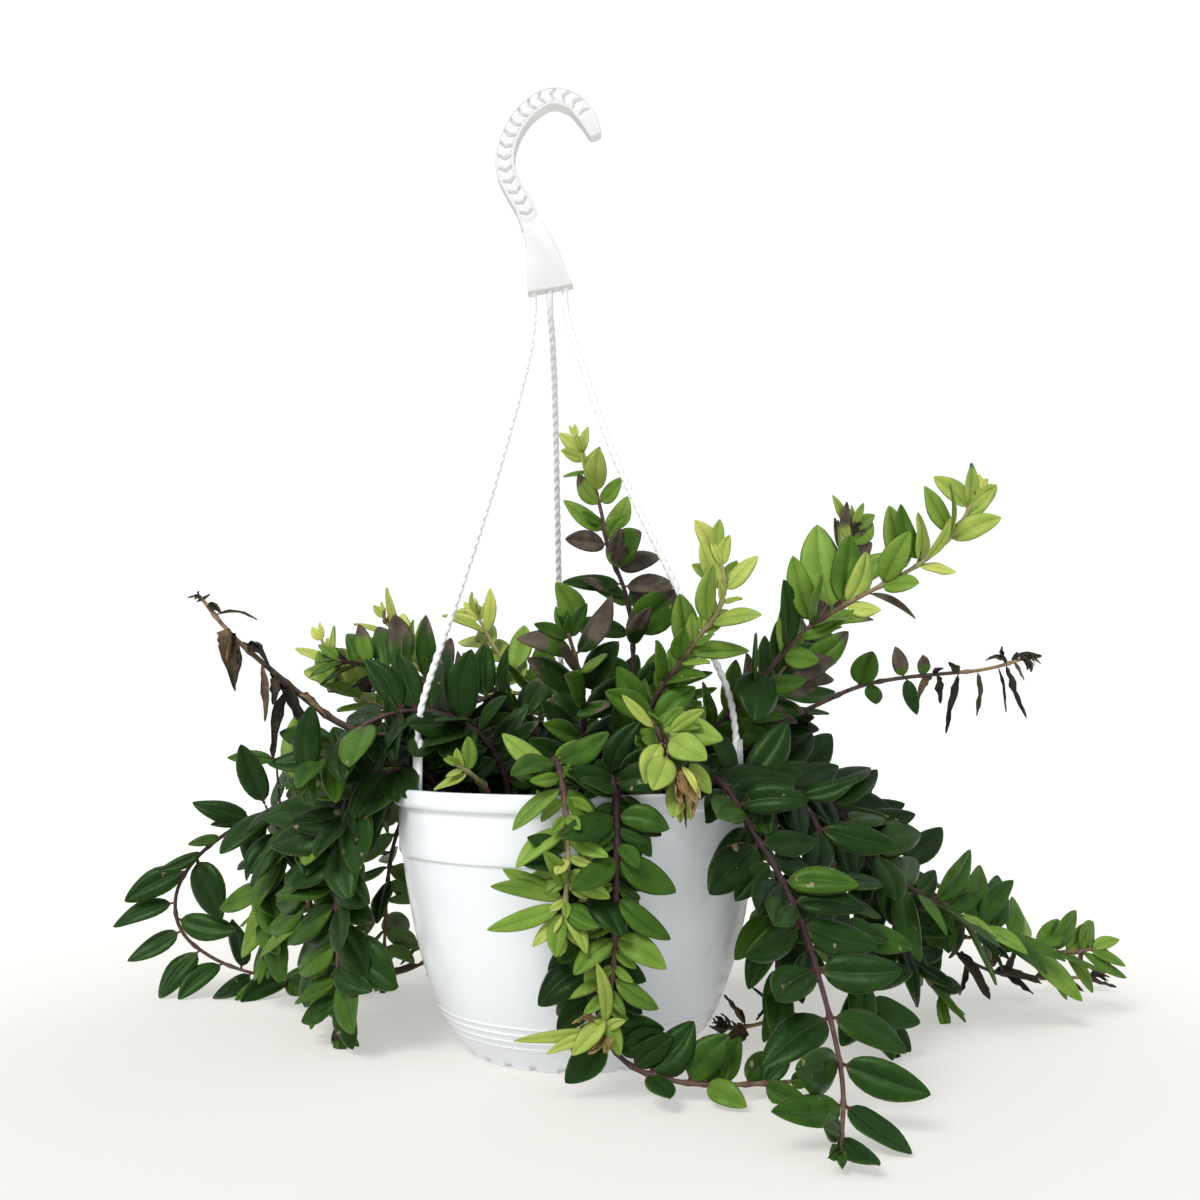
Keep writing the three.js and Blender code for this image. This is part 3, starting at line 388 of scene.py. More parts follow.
# Leaves that stand out, by stem: foot, tip, width as a part of length, tone, and dryness if there is any.
PLACED_LEAVES = {
    "stem_front_hanging": [
        ((13, -108, 31), (-27, -116, 30), 0.13, 0.8), ((12, -108, 30), (-12, -118, 25), 0.2, 0.85),
        ((12, -109, 33), (10, -124, 64), 0.18, 0.82), ((13, -108, 32), (22, -118, 39), 0.3, 0.85),
        ((11, -108, 33), (-1, -118, 40), 0.3, 0.9, 1), ((12, -108, 31), (6, -120, 27), 0.3, 0.9, 1),
        ((13, -108, 31), (14, -118, 26), 0.3, 0.9, 1),
    ],
    "stem_front_left_sprig": [
        ((-7, -113, 88), (-38, -126, 80), 0.23, 0.66), ((-8, -113, 91), (-37, -122, 98), 0.22, 0.58),
        ((-7, -113, 90), (-32, -118, 105), 0.26, 0.62), ((-6, -113, 85), (-8, -128, 69), 0.38, 0.6),
        ((-6, -113, 88), (11, -124, 81), 0.52, 0.46), ((-6, -113, 95), (-13, -128, 113), 0.3, 0.62),
        ((-7, -113, 113), (-21, -120, 119), 0.4, 0.25), ((-7, -113, 107), (-24, -120, 108), 0.4, 0.22),
    ],
    "stem_front_tip_cluster": [
        ((37, -100, 167), (22, -104, 183), 0.24, 0.84), ((43, -100, 165), (59, -108, 176), 0.32, 0.74),
        ((40, -98, 167), (51, -94, 178), 0.3, 0.55), ((43, -106, 163), (59, -120, 154), 0.62, 0.74),
        ((40, -106, 161), (32, -118, 143), 0.42, 0.8), ((42, -110, 155), (35, -126, 141), 0.6, 0.76),
        ((45, -112, 148), (44, -124, 129), 0.38, 0.8, 0.3), ((52, -110, 152), (62, -112, 138), 0.5, 0.72),
        ((48, -112, 151), (56, -124, 137), 0.17, 0.98), ((50, -112, 149), (52, -126, 133), 0.34, 1.0, 1),
        ((47, -112, 149), (48, -120, 136), 0.3, 0.95, 1), ((48, -112, 149), (54, -128, 139), 0.36, 0.9, 1),
        ((46, -114, 148), (50, -118, 130), 0.16, 0.5, 1),
    ],
    "stem_left_drying": [
        ((-185, -38, 217), (-177, -44, 188), 0.42, 0.5, 1),
        ((-186, -38, 218), (-181, -46, 205), 0.5, 0.5, 1),
        ((-167, -35, 203), (-162, -40, 173), 0.2, 0.5, 1),
        ((-160, -34, 195), (-158, -42, 180), 0.3, 0.5, 1),
        ((-154, -32, 192), (-142, -38, 171), 0.42, 0.5, 1),
        ((-153, -32, 187), (-157, -40, 161), 0.2, 0.5, 1),
        ((-161, -34, 202), (-148, -26, 190), 0.2, 0.5, 1),
        ((-146, -30, 188), (-131, -36, 181), 0.34, 0.5, 1),
        ((-177, -36, 212), (-173, -28, 211), 0.4, 0.5, 1),
        ((-174, -36, 208), (-159, -44, 204), 0.34, 0.5, 1),
        ((-190, -40, 226), (-166, -44, 223), 0.14, 0.5, 1),
        ((-195, -40, 230), (-185, -46, 228), 0.4, 0.5, 1),
        ((-198, -40, 234), (-203, -44, 236), 0.26, 0.5, 1),
        ((-198, -40, 234), (-194, -36, 238), 0.26, 0.5, 1),
        ((-198, -40, 235), (-198, -42, 239), 0.3, 0.5, 1),
    ],
    "stem_right_drying": [
        ((158, 24, 191), (166, 14, 210), 0.7, 0.36, 0.32), ((166, 26, 193), (168, 18, 181), 0.8, 0.3),
        ((186, 32, 197), (182, 26, 214), 0.66, 0.4, 0.55),
        ((187, 32, 196), (193, 24, 175), 0.42, 0.18, 0.3), ((198, 34, 200), (198, 28, 209), 0.8, 0.4, 0.5),
        ((204, 36, 200), (210, 30, 203), 0.4, 0.5, 1), ((204, 36, 198), (195, 30, 188), 0.36, 0.5, 1),
        ((207, 36, 198), (208, 32, 186), 0.32, 0.5, 1), ((221, 38, 199), (212, 34, 172), 0.15, 0.5, 1),
        ((232, 40, 201), (229, 34, 177), 0.22, 0.5, 1), ((223, 38, 200), (214, 32, 206), 0.3, 0.5, 1),
        ((246, 42, 203), (248, 38, 178), 0.16, 0.5, 1), ((250, 43, 204), (260, 38, 184), 0.3, 0.5, 1),
        ((250, 43, 205), (248, 40, 219), 0.22, 0.5, 1), ((252, 43, 205), (237, 38, 211), 0.24, 0.5, 1),
        ((254, 43, 206), (268, 40, 214), 0.2, 0.5, 1), ((256, 43, 207), (260, 40, 199), 0.24, 0.5, 1),
        ((253, 43, 206), (259, 46, 213), 0.3, 0.5, 1),
    ],
    "stem_left_far_arc": [
        ((-206, 92, 113), (-240, 84, 122), 0.36, 0.1), ((-206, 92, 113), (-227, 80, 109), 0.36, 0.06),
        ((-225, 97, 101), (-244, 90, 96), 0.36, 0.32), ((-236, 100, 91), (-262, 90, 80), 0.3, 0.1),
        ((-249, 103, 80), (-285, 96, 61), 0.42, 0.14), ((-258, 106, 58), (-292, 98, 45), 0.34, 0.16),
        ((-253, 108, 39), (-283, 100, 24), 0.42, 0.16), ((-241, 111, 27), (-262, 98, 2), 0.46, 0.2, 0.32),
        ((-227, 113, 19), (-249, 96, 2), 0.42, 0.22), ((-208, 114, 13), (-228, 98, 2), 0.5, 0.06, 0.36),
        ((-199, 115, 11), (-213, 94, 2), 0.34, 0.42), ((-184, 116, 9), (-208, 90, 2), 0.42, 0.14),
        ((-184, 116, 9), (-163, 100, 2), 0.5, 0.52, 0.4), ((-239, 101, 84), (-223, 92, 49), 0.52, 0.08),
        ((-255, 107, 48), (-214, 96, 43), 0.36, 0.24), ((-216, 114, 14), (-218, 96, 48), 0.46, 0.05),
        ((-198, 90, 116), (-203, 80, 82), 0.5, 0.12),
    ],
    "stem_left_vertical": [
        ((-95, -36, 150), (-82, -58, 134), 0.5, 0.14), ((-97, -36, 148), (-91, -52, 131), 0.45, 0.1),
    ],
    "stem_left_low": [
        ((-60, -27, 172), (-77, -56, 160), 0.5, 0.2), ((-57, -27, 172), (-58, -60, 150), 0.5, 0.24),
        ((-65, -28, 173), (-85, -56, 171), 0.5, 0.12), ((-70, -28, 172), (-82, -58, 155), 0.48, 0.16),
        ((-142, -40, 142), (-137, -50, 179), 0.42, 0.1), ((-119, -32, 160), (-124, -40, 132), 0.3, 0.22),
        ((-122, -32, 161), (-125, -46, 133), 0.34, 0.2),
    ],
    "stem_upright_centre": [
        ((0, -4, 319), (-2, -8, 330), 0.4, 0.85), ((2, -4, 316), (-10, -10, 321), 0.55, 0.82),
        ((4, -4, 305), (11, -12, 322), 0.4, 0.8), ((8, -4, 302), (14, -10, 311), 0.55, 0.76, 0.3),
        ((2, -4, 309), (-9, -8, 307), 0.24, 0.6, 0.3), ((12, -3, 291), (0, -12, 307), 0.4, 0.72, 0.42),
        ((12, -3, 292), (23, -12, 305), 0.5, 0.6, 0.3), ((11, -2, 280), (2, -8, 287), 0.4, 0.45),
        ((18, 0, 272), (26, -4, 286), 0.42, 0.5), ((14, -2, 268), (-7, -14, 271), 0.44, 0.3, 0.65),
        ((19, -2, 260), (33, -14, 274), 0.72, 0.36, 0.36), ((25, 4, 260), (45, 0, 263), 0.5, 0.3, 0.65),
        ((28, 4, 248), (53, -6, 246), 0.42, 0.3, 0.65), ((35, 6, 222), (53, -8, 243), 0.6, 0.36, 0.42),
        ((20, 4, 246), (-9, -8, 248), 0.3, 0.2), ((28, 4, 239), (1, -12, 249), 0.25, 0.16, 0.5),
        ((0, 10, 222), (-13, 0, 248), 0.5, 0.6), ((29, 6, 220), (-7, -10, 225), 0.28, 0.2),
    ],
    "stem_right_rising": [
        ((132, -44, 229), (128, -34, 276), 0.42, 0.66), ((122, -44, 220), (112, -50, 256), 0.38, 0.6),
        ((110, -42, 207), (106, -58, 242), 0.4, 0.2), ((136, -44, 231), (144, -40, 269), 0.42, 0.45),
        ((167, -46, 245), (164, -44, 284), 0.4, 0.62), ((179, -46, 251), (168, -52, 283), 0.42, 0.42),
        ((181, -46, 253), (192, -56, 275), 0.2, 0.78), ((194, -45, 269), (181, -50, 293), 0.46, 0.7),
        ((204, -43, 282), (189, -38, 301), 0.5, 0.78), ((203, -43, 277), (218, -44, 292), 0.34, 0.8),
        ((152, -45, 235), (174, -50, 224), 0.16, 0.2, 0.6), ((114, -43, 212), (141, -54, 228), 0.2, 0.5),
        ((97, -40, 198), (89, -60, 172), 0.62, 0.14), ((122, -40, 213), (137, -44, 220), 0.18, 0.25, 0.55),
    ],
    "stem_left_pale": [
        ((-152, 58, 189), (-158, 54, 213), 0.5, 0.66),
    ],
    "stem_left_inner": [
        ((-186, 52, 122), (-199, 40, 157), 0.42, 0.1), ((-173, 53, 114), (-154, 40, 86), 0.6, 0.06),
        ((-178, 57, 107), (-194, 44, 84), 0.62, 0.1), ((-186, 68, 72), (-198, 56, 44), 0.34, 0.6),
        ((-187, 70, 40), (-160, 58, 53), 0.5, 0.5), ((-186, 68, 69), (-161, 57, 60), 0.4, 0.56),
        ((-167, 44, 134), (-159, 26, 172), 0.4, 0.68), ((-164, 46, 134), (-157, 36, 173), 0.5, 0.12),
        ((-183, 62, 148), (-213, 62, 150), 0.3, 0.35), ((-174, 60, 134), (-168, 50, 177), 0.42, 0.66),
    ],
}

# Colours, as linear red, green and blue at places from 0 to 1.
LEAF_GREENS = [
    (0.0, (0.005, 0.014, 0.004)), (0.25, (0.016, 0.043, 0.007)), (0.45, (0.056, 0.122, 0.012)),
    (0.7, (0.18, 0.28, 0.045)), (1.0, (0.47, 0.5, 0.12)),
]
VEIN_GREENS = [
    (0.0, (0.018, 0.038, 0.013)), (0.3, (0.038, 0.08, 0.02)), (0.5, (0.04, 0.1, 0.015)),
    (0.75, (0.09, 0.15, 0.02)), (1.0, (0.28, 0.3, 0.05)),
]
CRISP_BROWNS = [
    (0.0, (0.024, 0.018, 0.017)), (0.5, (0.05, 0.037, 0.03)), (0.85, (0.085, 0.06, 0.04)),
    (1.0, (0.2, 0.13, 0.07)),
]
BARK_COLOURS = [
    (0.0, (0.022, 0.009, 0.012)), (0.35, (0.06, 0.024, 0.028)), (0.65, (0.13, 0.075, 0.052)),
    (1.0, (0.3, 0.28, 0.12)),
]
SOIL_BROWNS = [(0.3, (0.006, 0.004, 0.003)), (0.55, (0.022, 0.014, 0.009)), (0.78, (0.09, 0.06, 0.035))]
BARK_BROWNS = [(0.35, (0.035, 0.02, 0.018)), (0.65, (0.09, 0.058, 0.038))]
BARK_TANS = [(0.35, (0.12, 0.075, 0.035)), (0.65, (0.34, 0.235, 0.11))]
# The floor's own colour is a grey; its painted glow makes it look white.
FLOOR_GREYS_UNDER_GLOW = [(0.3, (0.37, 0.365, 0.345)), (0.7, (0.39, 0.385, 0.365))]
STRAWS = (0.2, 0.125, 0.055, 1), (0.4, 0.3, 0.13, 1)
WILTED_BROWNS = (0.05, 0.035, 0.033, 1), (0.105, 0.078, 0.06, 1)
UNDERSIDE_GREEN = (0.16, 0.23, 0.09, 1)
EDGE_GREEN = (0.2, 0.27, 0.1, 1)
STALK_RED = (0.075, 0.026, 0.028, 1)
SCAR_TAN = (0.27, 0.22, 0.12, 1)
NO_TRAITS = (0.0, 0.0, 0.0, 1.0)
SHOOT_TRAITS = (0.3, 0.0, 0.5, 1.0)

# Short ways to reckon


def smoothstep(value, low, high):
    part = min(max((value - low) / (high - low), 0), 1)
    return part * part * (3 - 2 * part)


def unit(vector):
    return vector / max(np.linalg.norm(vector), 1e-9)


def square_to(direction, axis):
    return unit(direction - axis * np.dot(direction, axis))


def turned_about(vector, axis, degrees):
    return np.array(Quaternion(Vector(axis), math.radians(degrees)) @ Vector(vector))


def upward(height):
    return np.array((0, 0, height))


def polar(radius, angle):
    return radius * math.cos(angle), radius * math.sin(angle)


def circle(radius, sides):
    return [polar(radius, 2 * math.pi * k / sides) for k in range(sides)]


def arc(centre, radius, start, end, steps):
    turns = [polar(radius, math.radians(start + (end - start) * i / steps)) for i in range(steps + 1)]
    return [(centre[0] + x, centre[1] + y) for x, y in turns]


def lengths_along(points):
    lengths = [0.0]
    for here, there in zip(points, points[1:]):
        lengths.append(lengths[-1] + float(np.linalg.norm(there - here)))
    return lengths


def tree_of(points):
    tree = kdtree.KDTree(len(points))
    for i, point in enumerate(points):
        tree.insert(point, i)
    tree.balance()
    return tree


class Dice:
    """The same repeatable row of numbers from 0 to 1 as in the solids' rule."""

    def __init__(self, seed):
        self.state = (seed * 7919 + 104729) % 2147483647

    def next(self):
        self.state = (self.state * 48271) % 2147483647
        return self.state / 2147483647

    def between(self, low, high):
        return low + (high - low) * self.next()


class Line:
    """A smooth curve through points, whose length is measured as the solids' rule measures it."""

    DIVISIONS = 200
    TENSION = 0.5

    def __init__(self, points):
        self.points = [np.array(p, float) for p in points]
        self.lengths = lengths_along([self.at(i / self.DIVISIONS) for i in range(self.DIVISIONS + 1)])
        self.length = self.lengths[-1]

    def at(self, t):
        last = len(self.points) - 1
        i = min(int(t * last), last - 1)
        weight = t * last - i
        one, two = self.points[i], self.points[i + 1]
        before = self.points[i - 1] if i > 0 else 2 * one - two
        after = self.points[i + 2] if i + 2 <= last else 2 * two - one
        start, end = self.TENSION * (two - before), self.TENSION * (after - one)
        cubic = 2 * one - 2 * two + start + end
        square = -3 * one + 3 * two - 2 * start - end
        return one + start * weight + square * weight**2 + cubic * weight**3

    def at_part(self, part):
        target = part * self.length
        i = min(bisect_right(self.lengths, target) - 1, self.DIVISIONS - 1)
        low, high = self.lengths[i], self.lengths[i + 1]
        return self.at((i + (target - low) / (high - low)) / self.DIVISIONS)

    def even(self, step):
        count = max(int(self.length / step), 2)
        return [self.at_part(i / count) for i in range(count + 1)]


# Short ways to build


def ring_faces(rings, count, first):
    """Faces that join rings of vertices, from vertex number first on."""
    faces = []
    for a in range(first, first + (rings - 1) * count, count):
        b = a + count
        faces += [(a + i, a + (i + 1) % count, b + (i + 1) % count, b + i) for i in range(count)]
    return faces


def tube_faces(rings, count, first, start, end):
    """The same, closed by the vertices start and end."""
    faces = ring_faces(rings, count, first)
    last = first + (rings - 1) * count
    for i in range(count):
        j = (i + 1) % count
        faces += [(start, first + j, first + i), (end, last + i, last + j)]
    return faces


def flipped(faces):
    return [(face[0], *face[:0:-1]) for face in faces]


def new_object(name, vertices, faces):
    mesh = bpy.data.meshes.new(name)
    mesh.from_pydata(vertices, [], faces)
    made = bpy.data.objects.new(name, mesh)
    bpy.context.scene.collection.objects.link(made)
    return made


def remove_object(made):
    mesh = made.data
    bpy.data.objects.remove(made)
    bpy.data.meshes.remove(mesh)


class Build:
    """Vertices and faces gathered for one mesh, with each vertex's traits and each face's material."""

    def __init__(self):
        self.vertices, self.traits, self.faces, self.marks, self.uvs = [], [], [], [], []

    def add(self, vertices, faces, traits=NO_TRAITS, mark=0, uvs=None):
        start = len(self.vertices)
        self.vertices.extend(vertices)
        self.traits.extend([traits] * len(vertices) if np.ndim(traits) == 1 else traits)
        self.faces.extend([tuple(start + i for i in face) for face in faces])
        self.marks.extend([mark] * len(faces))
        self.uvs.extend(uvs if uvs is not None else [[(0, 0)] * len(face) for face in faces])

    def object(self, name):
        return new_object(name, [tuple(np.asarray(v) * MM) for v in self.vertices], self.faces)

    def piece(self, name, materials, node, slot, sharp=None):
        piece = self.object(name)
        mesh = piece.data
        mesh.update()
        for material in materials:
            mesh.materials.append(material)
        mesh.polygons.foreach_set("material_index", self.marks)
        layer = mesh.uv_layers.new(name="surface")
        layer.data.foreach_set("uv", [c for face in self.uvs for uv in face for c in uv])
        traits = mesh.color_attributes.new("traits", "FLOAT_COLOR", "POINT")
        traits.data.foreach_set("color", np.array(self.traits, float).ravel())
        mesh.polygons.foreach_set("use_smooth", [True] * len(self.faces))
        if sharp is not None:
            mesh.set_sharp_from_angle(angle=math.radians(sharp))
        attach(piece, "root")
        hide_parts(node)
        return piece


def swept(centres, sections, first_side):
    """Rings of (across, deep) points carried along a line of centres, closed at both ends."""
    centres = [np.array(c, float) for c in centres]
    last = len(centres) - 1
    vertices = []
    side = np.array(first_side, float)
    for i, centre in enumerate(centres):
        tangent = unit(centres[min(i + 1, last)] - centres[max(i - 1, 0)])
        side = square_to(side, tangent)
        other = np.cross(tangent, side)
        vertices += [centre + side * a + other * b for a, b in sections[i]]
    end = len(vertices)
    return vertices + [centres[0], centres[-1]], tube_faces(last + 1, len(sections[0]), 0, end, end + 1)


def block_mesh(size, centre, degrees, round_by=0.0):
    """An eight-cornered block, or with rounded edges, turned about the Z axis."""
    x, y, z = (s / 2 for s in size)
    corners = [(sx * x, sy * y, sz * z) for sx in (-1, 1) for sy in (-1, 1) for sz in (-1, 1)]
    faces = [(0, 1, 3, 2), (4, 6, 7, 5), (0, 4, 5, 1), (2, 3, 7, 6), (0, 2, 6, 4), (1, 5, 7, 3)]
    helper = new_object("block", corners, faces)
    if round_by > 0:
        bevel = helper.modifiers.new("bevel", "BEVEL")
        bevel.width, bevel.segments = round_by, 3
    baked = helper.evaluated_get(bpy.context.evaluated_depsgraph_get()).to_mesh()
    cos, sin = polar(1, math.radians(degrees))
    vertices = []
    for v in baked.vertices:
        px, py = v.co.x + centre[0], v.co.y + centre[1]
        vertices.append((px * cos - py * sin, px * sin + py * cos, v.co.z + centre[2]))
    faces = [tuple(p.vertices) for p in baked.polygons]
    remove_object(helper)
    return vertices, faces


# Materials


class Nodes:
    """A tree of nodes, and short ways to add and join them."""

    def __init__(self, tree):
        self.tree = tree

    def add(self, kind, **values):
        node = self.tree.nodes.new("ShaderNode" + kind)
        for key, value in values.items():
            setattr(node, key, value)
        return node

    def join(self, source, target):
        if hasattr(source, "is_output"):
            self.tree.links.new(source, target)
        else:
            target.default_value = source

    def fed(self, node, *sources):
        for source, target in zip(sources, node.inputs):
            self.join(source, target)
        return node

    def math(self, operation, *values):
        return self.fed(self.add("Math", operation=operation), *values).outputs[0]

    def times(self, first, second):
        return self.math("MULTIPLY", first, second)

    def scaled(self, value, factor, more):
        return self.math("MULTIPLY_ADD", value, factor, more)

    def ramp(self, value, stops):
        node = self.fed(self.add("ValToRGB"), value)
        elements = node.color_ramp.elements
        for i, (position, colour) in enumerate(stops):
            element = elements[i] if i < 2 else elements.new(position)
            element.position = position
            element.color = (*colour, 1)
        return node.outputs[0]

    def mix(self, factor, first, second):
        node = self.add("Mix", data_type="RGBA")
        for source, place in ((factor, 0), (first, 6), (second, 7)):
            self.join(source, node.inputs[place])
        return node.outputs[2]

    def noise(self, scale, detail=3.0, roughness=0.5):
        node = self.fed(self.add("TexNoise"), self.add("TexCoord").outputs["Object"])
        for name, value in (("Scale", scale), ("Detail", detail), ("Roughness", roughness)):
            node.inputs[name].default_value = value
        return node.outputs["Fac"]

    def smooth(self, value, low, high, start=0.0, end=1.0):
        node = self.add("MapRange", interpolation_type="SMOOTHSTEP")
        return self.fed(node, value, low, high, start, end).outputs[0]


class Material(Nodes):
    """A new material's nodes, with its shader."""

    def __init__(self, name, roughness, specular=0.5):
        self.material = bpy.data.materials.new(name)
        self.material.use_nodes = True
        super().__init__(self.material.node_tree)
        self.inputs = self.tree.nodes["Principled BSDF"].inputs
        self.set("Roughness", roughness)
        self.set("Specular IOR Level", specular)

    def set(self, name, source):
        self.join(source, self.inputs[name])

    def bump(self, height, strength, distance):
        node = self.add("Bump")
        for name, value in (("Strength", strength), ("Distance", distance), ("Height", height)):
            self.join(value, node.inputs[name])
        self.set("Normal", node.outputs[0])

    def traits(self):
        """The piece's own tone, dryness and chance."""
        attribute = self.add("Attribute", attribute_name="traits")
        return self.fed(self.add("SeparateColor"), attribute.outputs["Color"]).outputs


def plastic(name, colour, shade, roughness, spread):
    nodes = Material(name, roughness)
    nodes.set("Base Color", nodes.ramp(nodes.noise(28, 4), [(0.3, shade), (0.7, colour)]))
    worn = nodes.smooth(nodes.noise(45, 3), 0.3, 0.7, roughness - spread, roughness + spread)
    nodes.set("Roughness", worn)
    nodes.bump(nodes.noise(26, 2), 0.25, 0.0012)
    return nodes.material


def soil_material():
    nodes = Material("potting_mix", 0.95, 0.2)
    nodes.set("Base Color", nodes.ramp(nodes.noise(160, 6, 0.65), SOIL_BROWNS))
    nodes.bump(nodes.noise(700, 6, 0.7), 0.9, 0.0012)
    return nodes.material


def leaf_material():
    """Green by the leaf's tone, with veins and a pale edge; dryness browns it from the tip."""
    nodes = Material("leaf_blade", 0.38, 0.24)
    times, scaled, smooth = nodes.times, nodes.scaled, nodes.smooth
    tone, dryness, chance = nodes.traits()
    uv = nodes.fed(nodes.add("SeparateXYZ"), nodes.add("UVMap", uv_map="surface").outputs[0])
    along, sideways = uv.outputs[0], uv.outputs[1]
    is_below = nodes.math("GREATER_THAN", sideways, BELOW_SHIFT / 2)
    across = nodes.math("ABSOLUTE", nodes.math("SUBTRACT", sideways, times(is_below, BELOW_SHIFT)))
    mottle = nodes.noise(95, 4, 0.6)
    patches = nodes.math("SUBTRACT", mottle, 0.5)
    shifted = scaled(patches, 0.3, tone)
    lines = nodes.ramp(shifted, VEIN_GREENS)
    slanted = scaled(across, -1.3, times(along, 7.0))
    vein_place = nodes.math("ABSOLUTE", nodes.math("SUBTRACT", nodes.math("FRACT", slanted), 0.5))
    vein = smooth(vein_place, 0.09, 0.0)
    marks = nodes.math("MAXIMUM", times(vein, 0.07), times(smooth(across, 0.09, 0.02), 0.45))
    specks = times(smooth(nodes.noise(1300, 2), 0.5, 0.8), 0.2)
    edge = times(smooth(across, 0.9, 1.0), 0.3)
    stalk = times(smooth(along, 0.26, 0.12), smooth(tone, 0.8, 0.4, 0.3, 0.95))
    scars = times(times(smooth(nodes.noise(170, 3), 0.66, 0.7), smooth(chance, 0.72, 0.76)), 0.7)
    fresh = nodes.ramp(shifted, LEAF_GREENS)
    for share, colour in [
        (specks, lines), (times(is_below, 0.28), UNDERSIDE_GREEN), (marks, lines), (edge, EDGE_GREEN),
        (stalk, STALK_RED), (scars, SCAR_TAN),
    ]:
        fresh = nodes.mix(share, fresh, colour)
    crisp = nodes.ramp(scaled(patches, 0.9, chance), CRISP_BROWNS)
    crisp = nodes.mix(smooth(tone, 0.72, 0.9), crisp, nodes.mix(smooth(mottle, 0.4, 0.65), *STRAWS))
    wilted = nodes.mix(smooth(mottle, 0.35, 0.65), *WILTED_BROWNS)
    brown = nodes.mix(smooth(dryness, 0.7, 0.9), wilted, crisp)
    drying = scaled(dryness, 2.1, nodes.math("SUBTRACT", scaled(patches, 0.35, along), 1.0))
    browned = smooth(drying, 0.48, 0.62)
    nodes.set("Base Color", nodes.mix(browned, fresh, brown))
    nodes.set("Roughness", scaled(browned, 0.34, 0.38))
    nodes.set("Specular Tint", (0.45, 0.8, 0.35, 1))
    nodes.bump(scaled(vein, -0.14, times(mottle, 1.8)), 0.4, 0.0006)
    nodes.set("Subsurface Weight", scaled(browned, -0.1, 0.1))
    nodes.set("Subsurface Radius", (0.0015, 0.003, 0.0006))
    nodes.set("Subsurface Scale", 1.0)
    return nodes.material


def stem_material():
    """Purple brown to pale green by the stem's tone; dryness turns it brown and then tan."""
    nodes = Material("stem_bark", 0.6, 0.3)
    tone, dryness, _ = nodes.traits()
    streaks = nodes.noise(260, 4, 0.6)
    fresh = nodes.ramp(nodes.scaled(nodes.math("SUBTRACT", streaks, 0.5), 0.7, tone), BARK_COLOURS)
    brown, tan = nodes.ramp(streaks, BARK_BROWNS), nodes.ramp(streaks, BARK_TANS)
    dry = nodes.mix(nodes.smooth(dryness, 0.58, 0.95), brown, tan)
    nodes.set("Base Color", nodes.mix(nodes.smooth(dryness, 0.0, 0.5), fresh, dry))
    nodes.bump(nodes.noise(1500, 3), 0.5, 0.0005)
    return nodes.material


POT_WHITE = plastic("pot_plastic", (0.79, 0.815, 0.85), (0.76, 0.79, 0.83), 0.24, 0.04)
HANGER_WHITE = plastic("hanger_plastic", (0.7, 0.7, 0.705), (0.67, 0.67, 0.675), 0.4, 0.05)
# A lighter copy of the hanger's white for the front arms: painted light. The back arm keeps the darker copy
# as painted shade.
LIT_ARM_WHITE = plastic("hanger_cord_painted_light", (0.84, 0.84, 0.845), (0.81, 0.81, 0.815), 0.4, 0.05)
POTTING_MIX = soil_material()
LEAF = leaf_material()
BARK = stem_material()

# Pot


def bowl_line(inset):
    """The bowl's side, moved in by an amount, with close points on the outside where the rings are."""
    line = Line([(r, h, 0) for r, h in BOWL_OUTLINE])
    points = [line.at(i / BOWL_STEPS) for i in range(BOWL_STEPS + 1)]
    low, high = RING_ZONE
    kept = [p for i, p in enumerate(points) if i % BOWL_SKIP == 0 or (inset == 0 and low < p[1] < high)]
    return [(p[0] - inset, p[1] + inset * 0.6) for p in kept]


def ring_relief(height):
    return RING_HEIGHT * sum(math.exp(-(((height - at) / 0.55) ** 2)) for at in RINGS_AT)


def make_pot():
    bowl = [(r + ring_relief(h), h) for r, h in bowl_line(0)]
    lip = arc(LIP_MIDDLE, LIP_RADIUS, 0, 90, 8) + [LIP_TOP] + arc(LIP_INNER_MIDDLE, 1.0, 90, 180, 5)
    inner = [(r, h) for r, h in bowl_line(POT_WALL) if h > POT_FLOOR + 1]
    floor = [(r, POT_FLOOR) for r in (FOOT_RADIUS - POT_WALL, 50, 30)]
    profile = FOOT_OUTLINE + bowl + BAND_OUTLINE + lip + INSIDE_OUTLINE + inner[::-1] + floor
    vertices = [(0, 0, 0)]
    pitch = 360 / FOOT_NOTCHES
    for radius, height in profile:
        is_foot = radius > FOOT_RADIUS - 3.5 and height < NOTCH_HEIGHT
        for i in range(POT_SEGMENTS):
            angle = i * 360 / POT_SEGMENTS
            off = abs((angle + pitch / 2) % pitch - pitch / 2)
            cut = 1 if is_foot and off < NOTCH_HALF_ANGLE else 0
            lift = NOTCH_LIFT * cut if height < 0.1 else 0
            r = radius - NOTCH_DEPTH * cut * (1 if height >= 0.3 else 0.4)
            vertices.append((*polar(r, math.radians(angle)), height + lift))
    vertices.append((0, 0, POT_FLOOR))
    build = Build()
    build.add(vertices, tube_faces(len(profile), POT_SEGMENTS, 1, 0, len(vertices) - 1))
    for degrees, _ in ARMS.values():
        build.add(*block_mesh(LUG_SIZE, (LUG_REACH, 0, LUG_HEIGHT), degrees, LUG_EDGE))
    piece = build.piece("basket_pot", [POT_WHITE], "pot", "pot_plastic")
    cut_holes(piece)
    piece.data.set_sharp_from_angle(angle=math.radians(32))


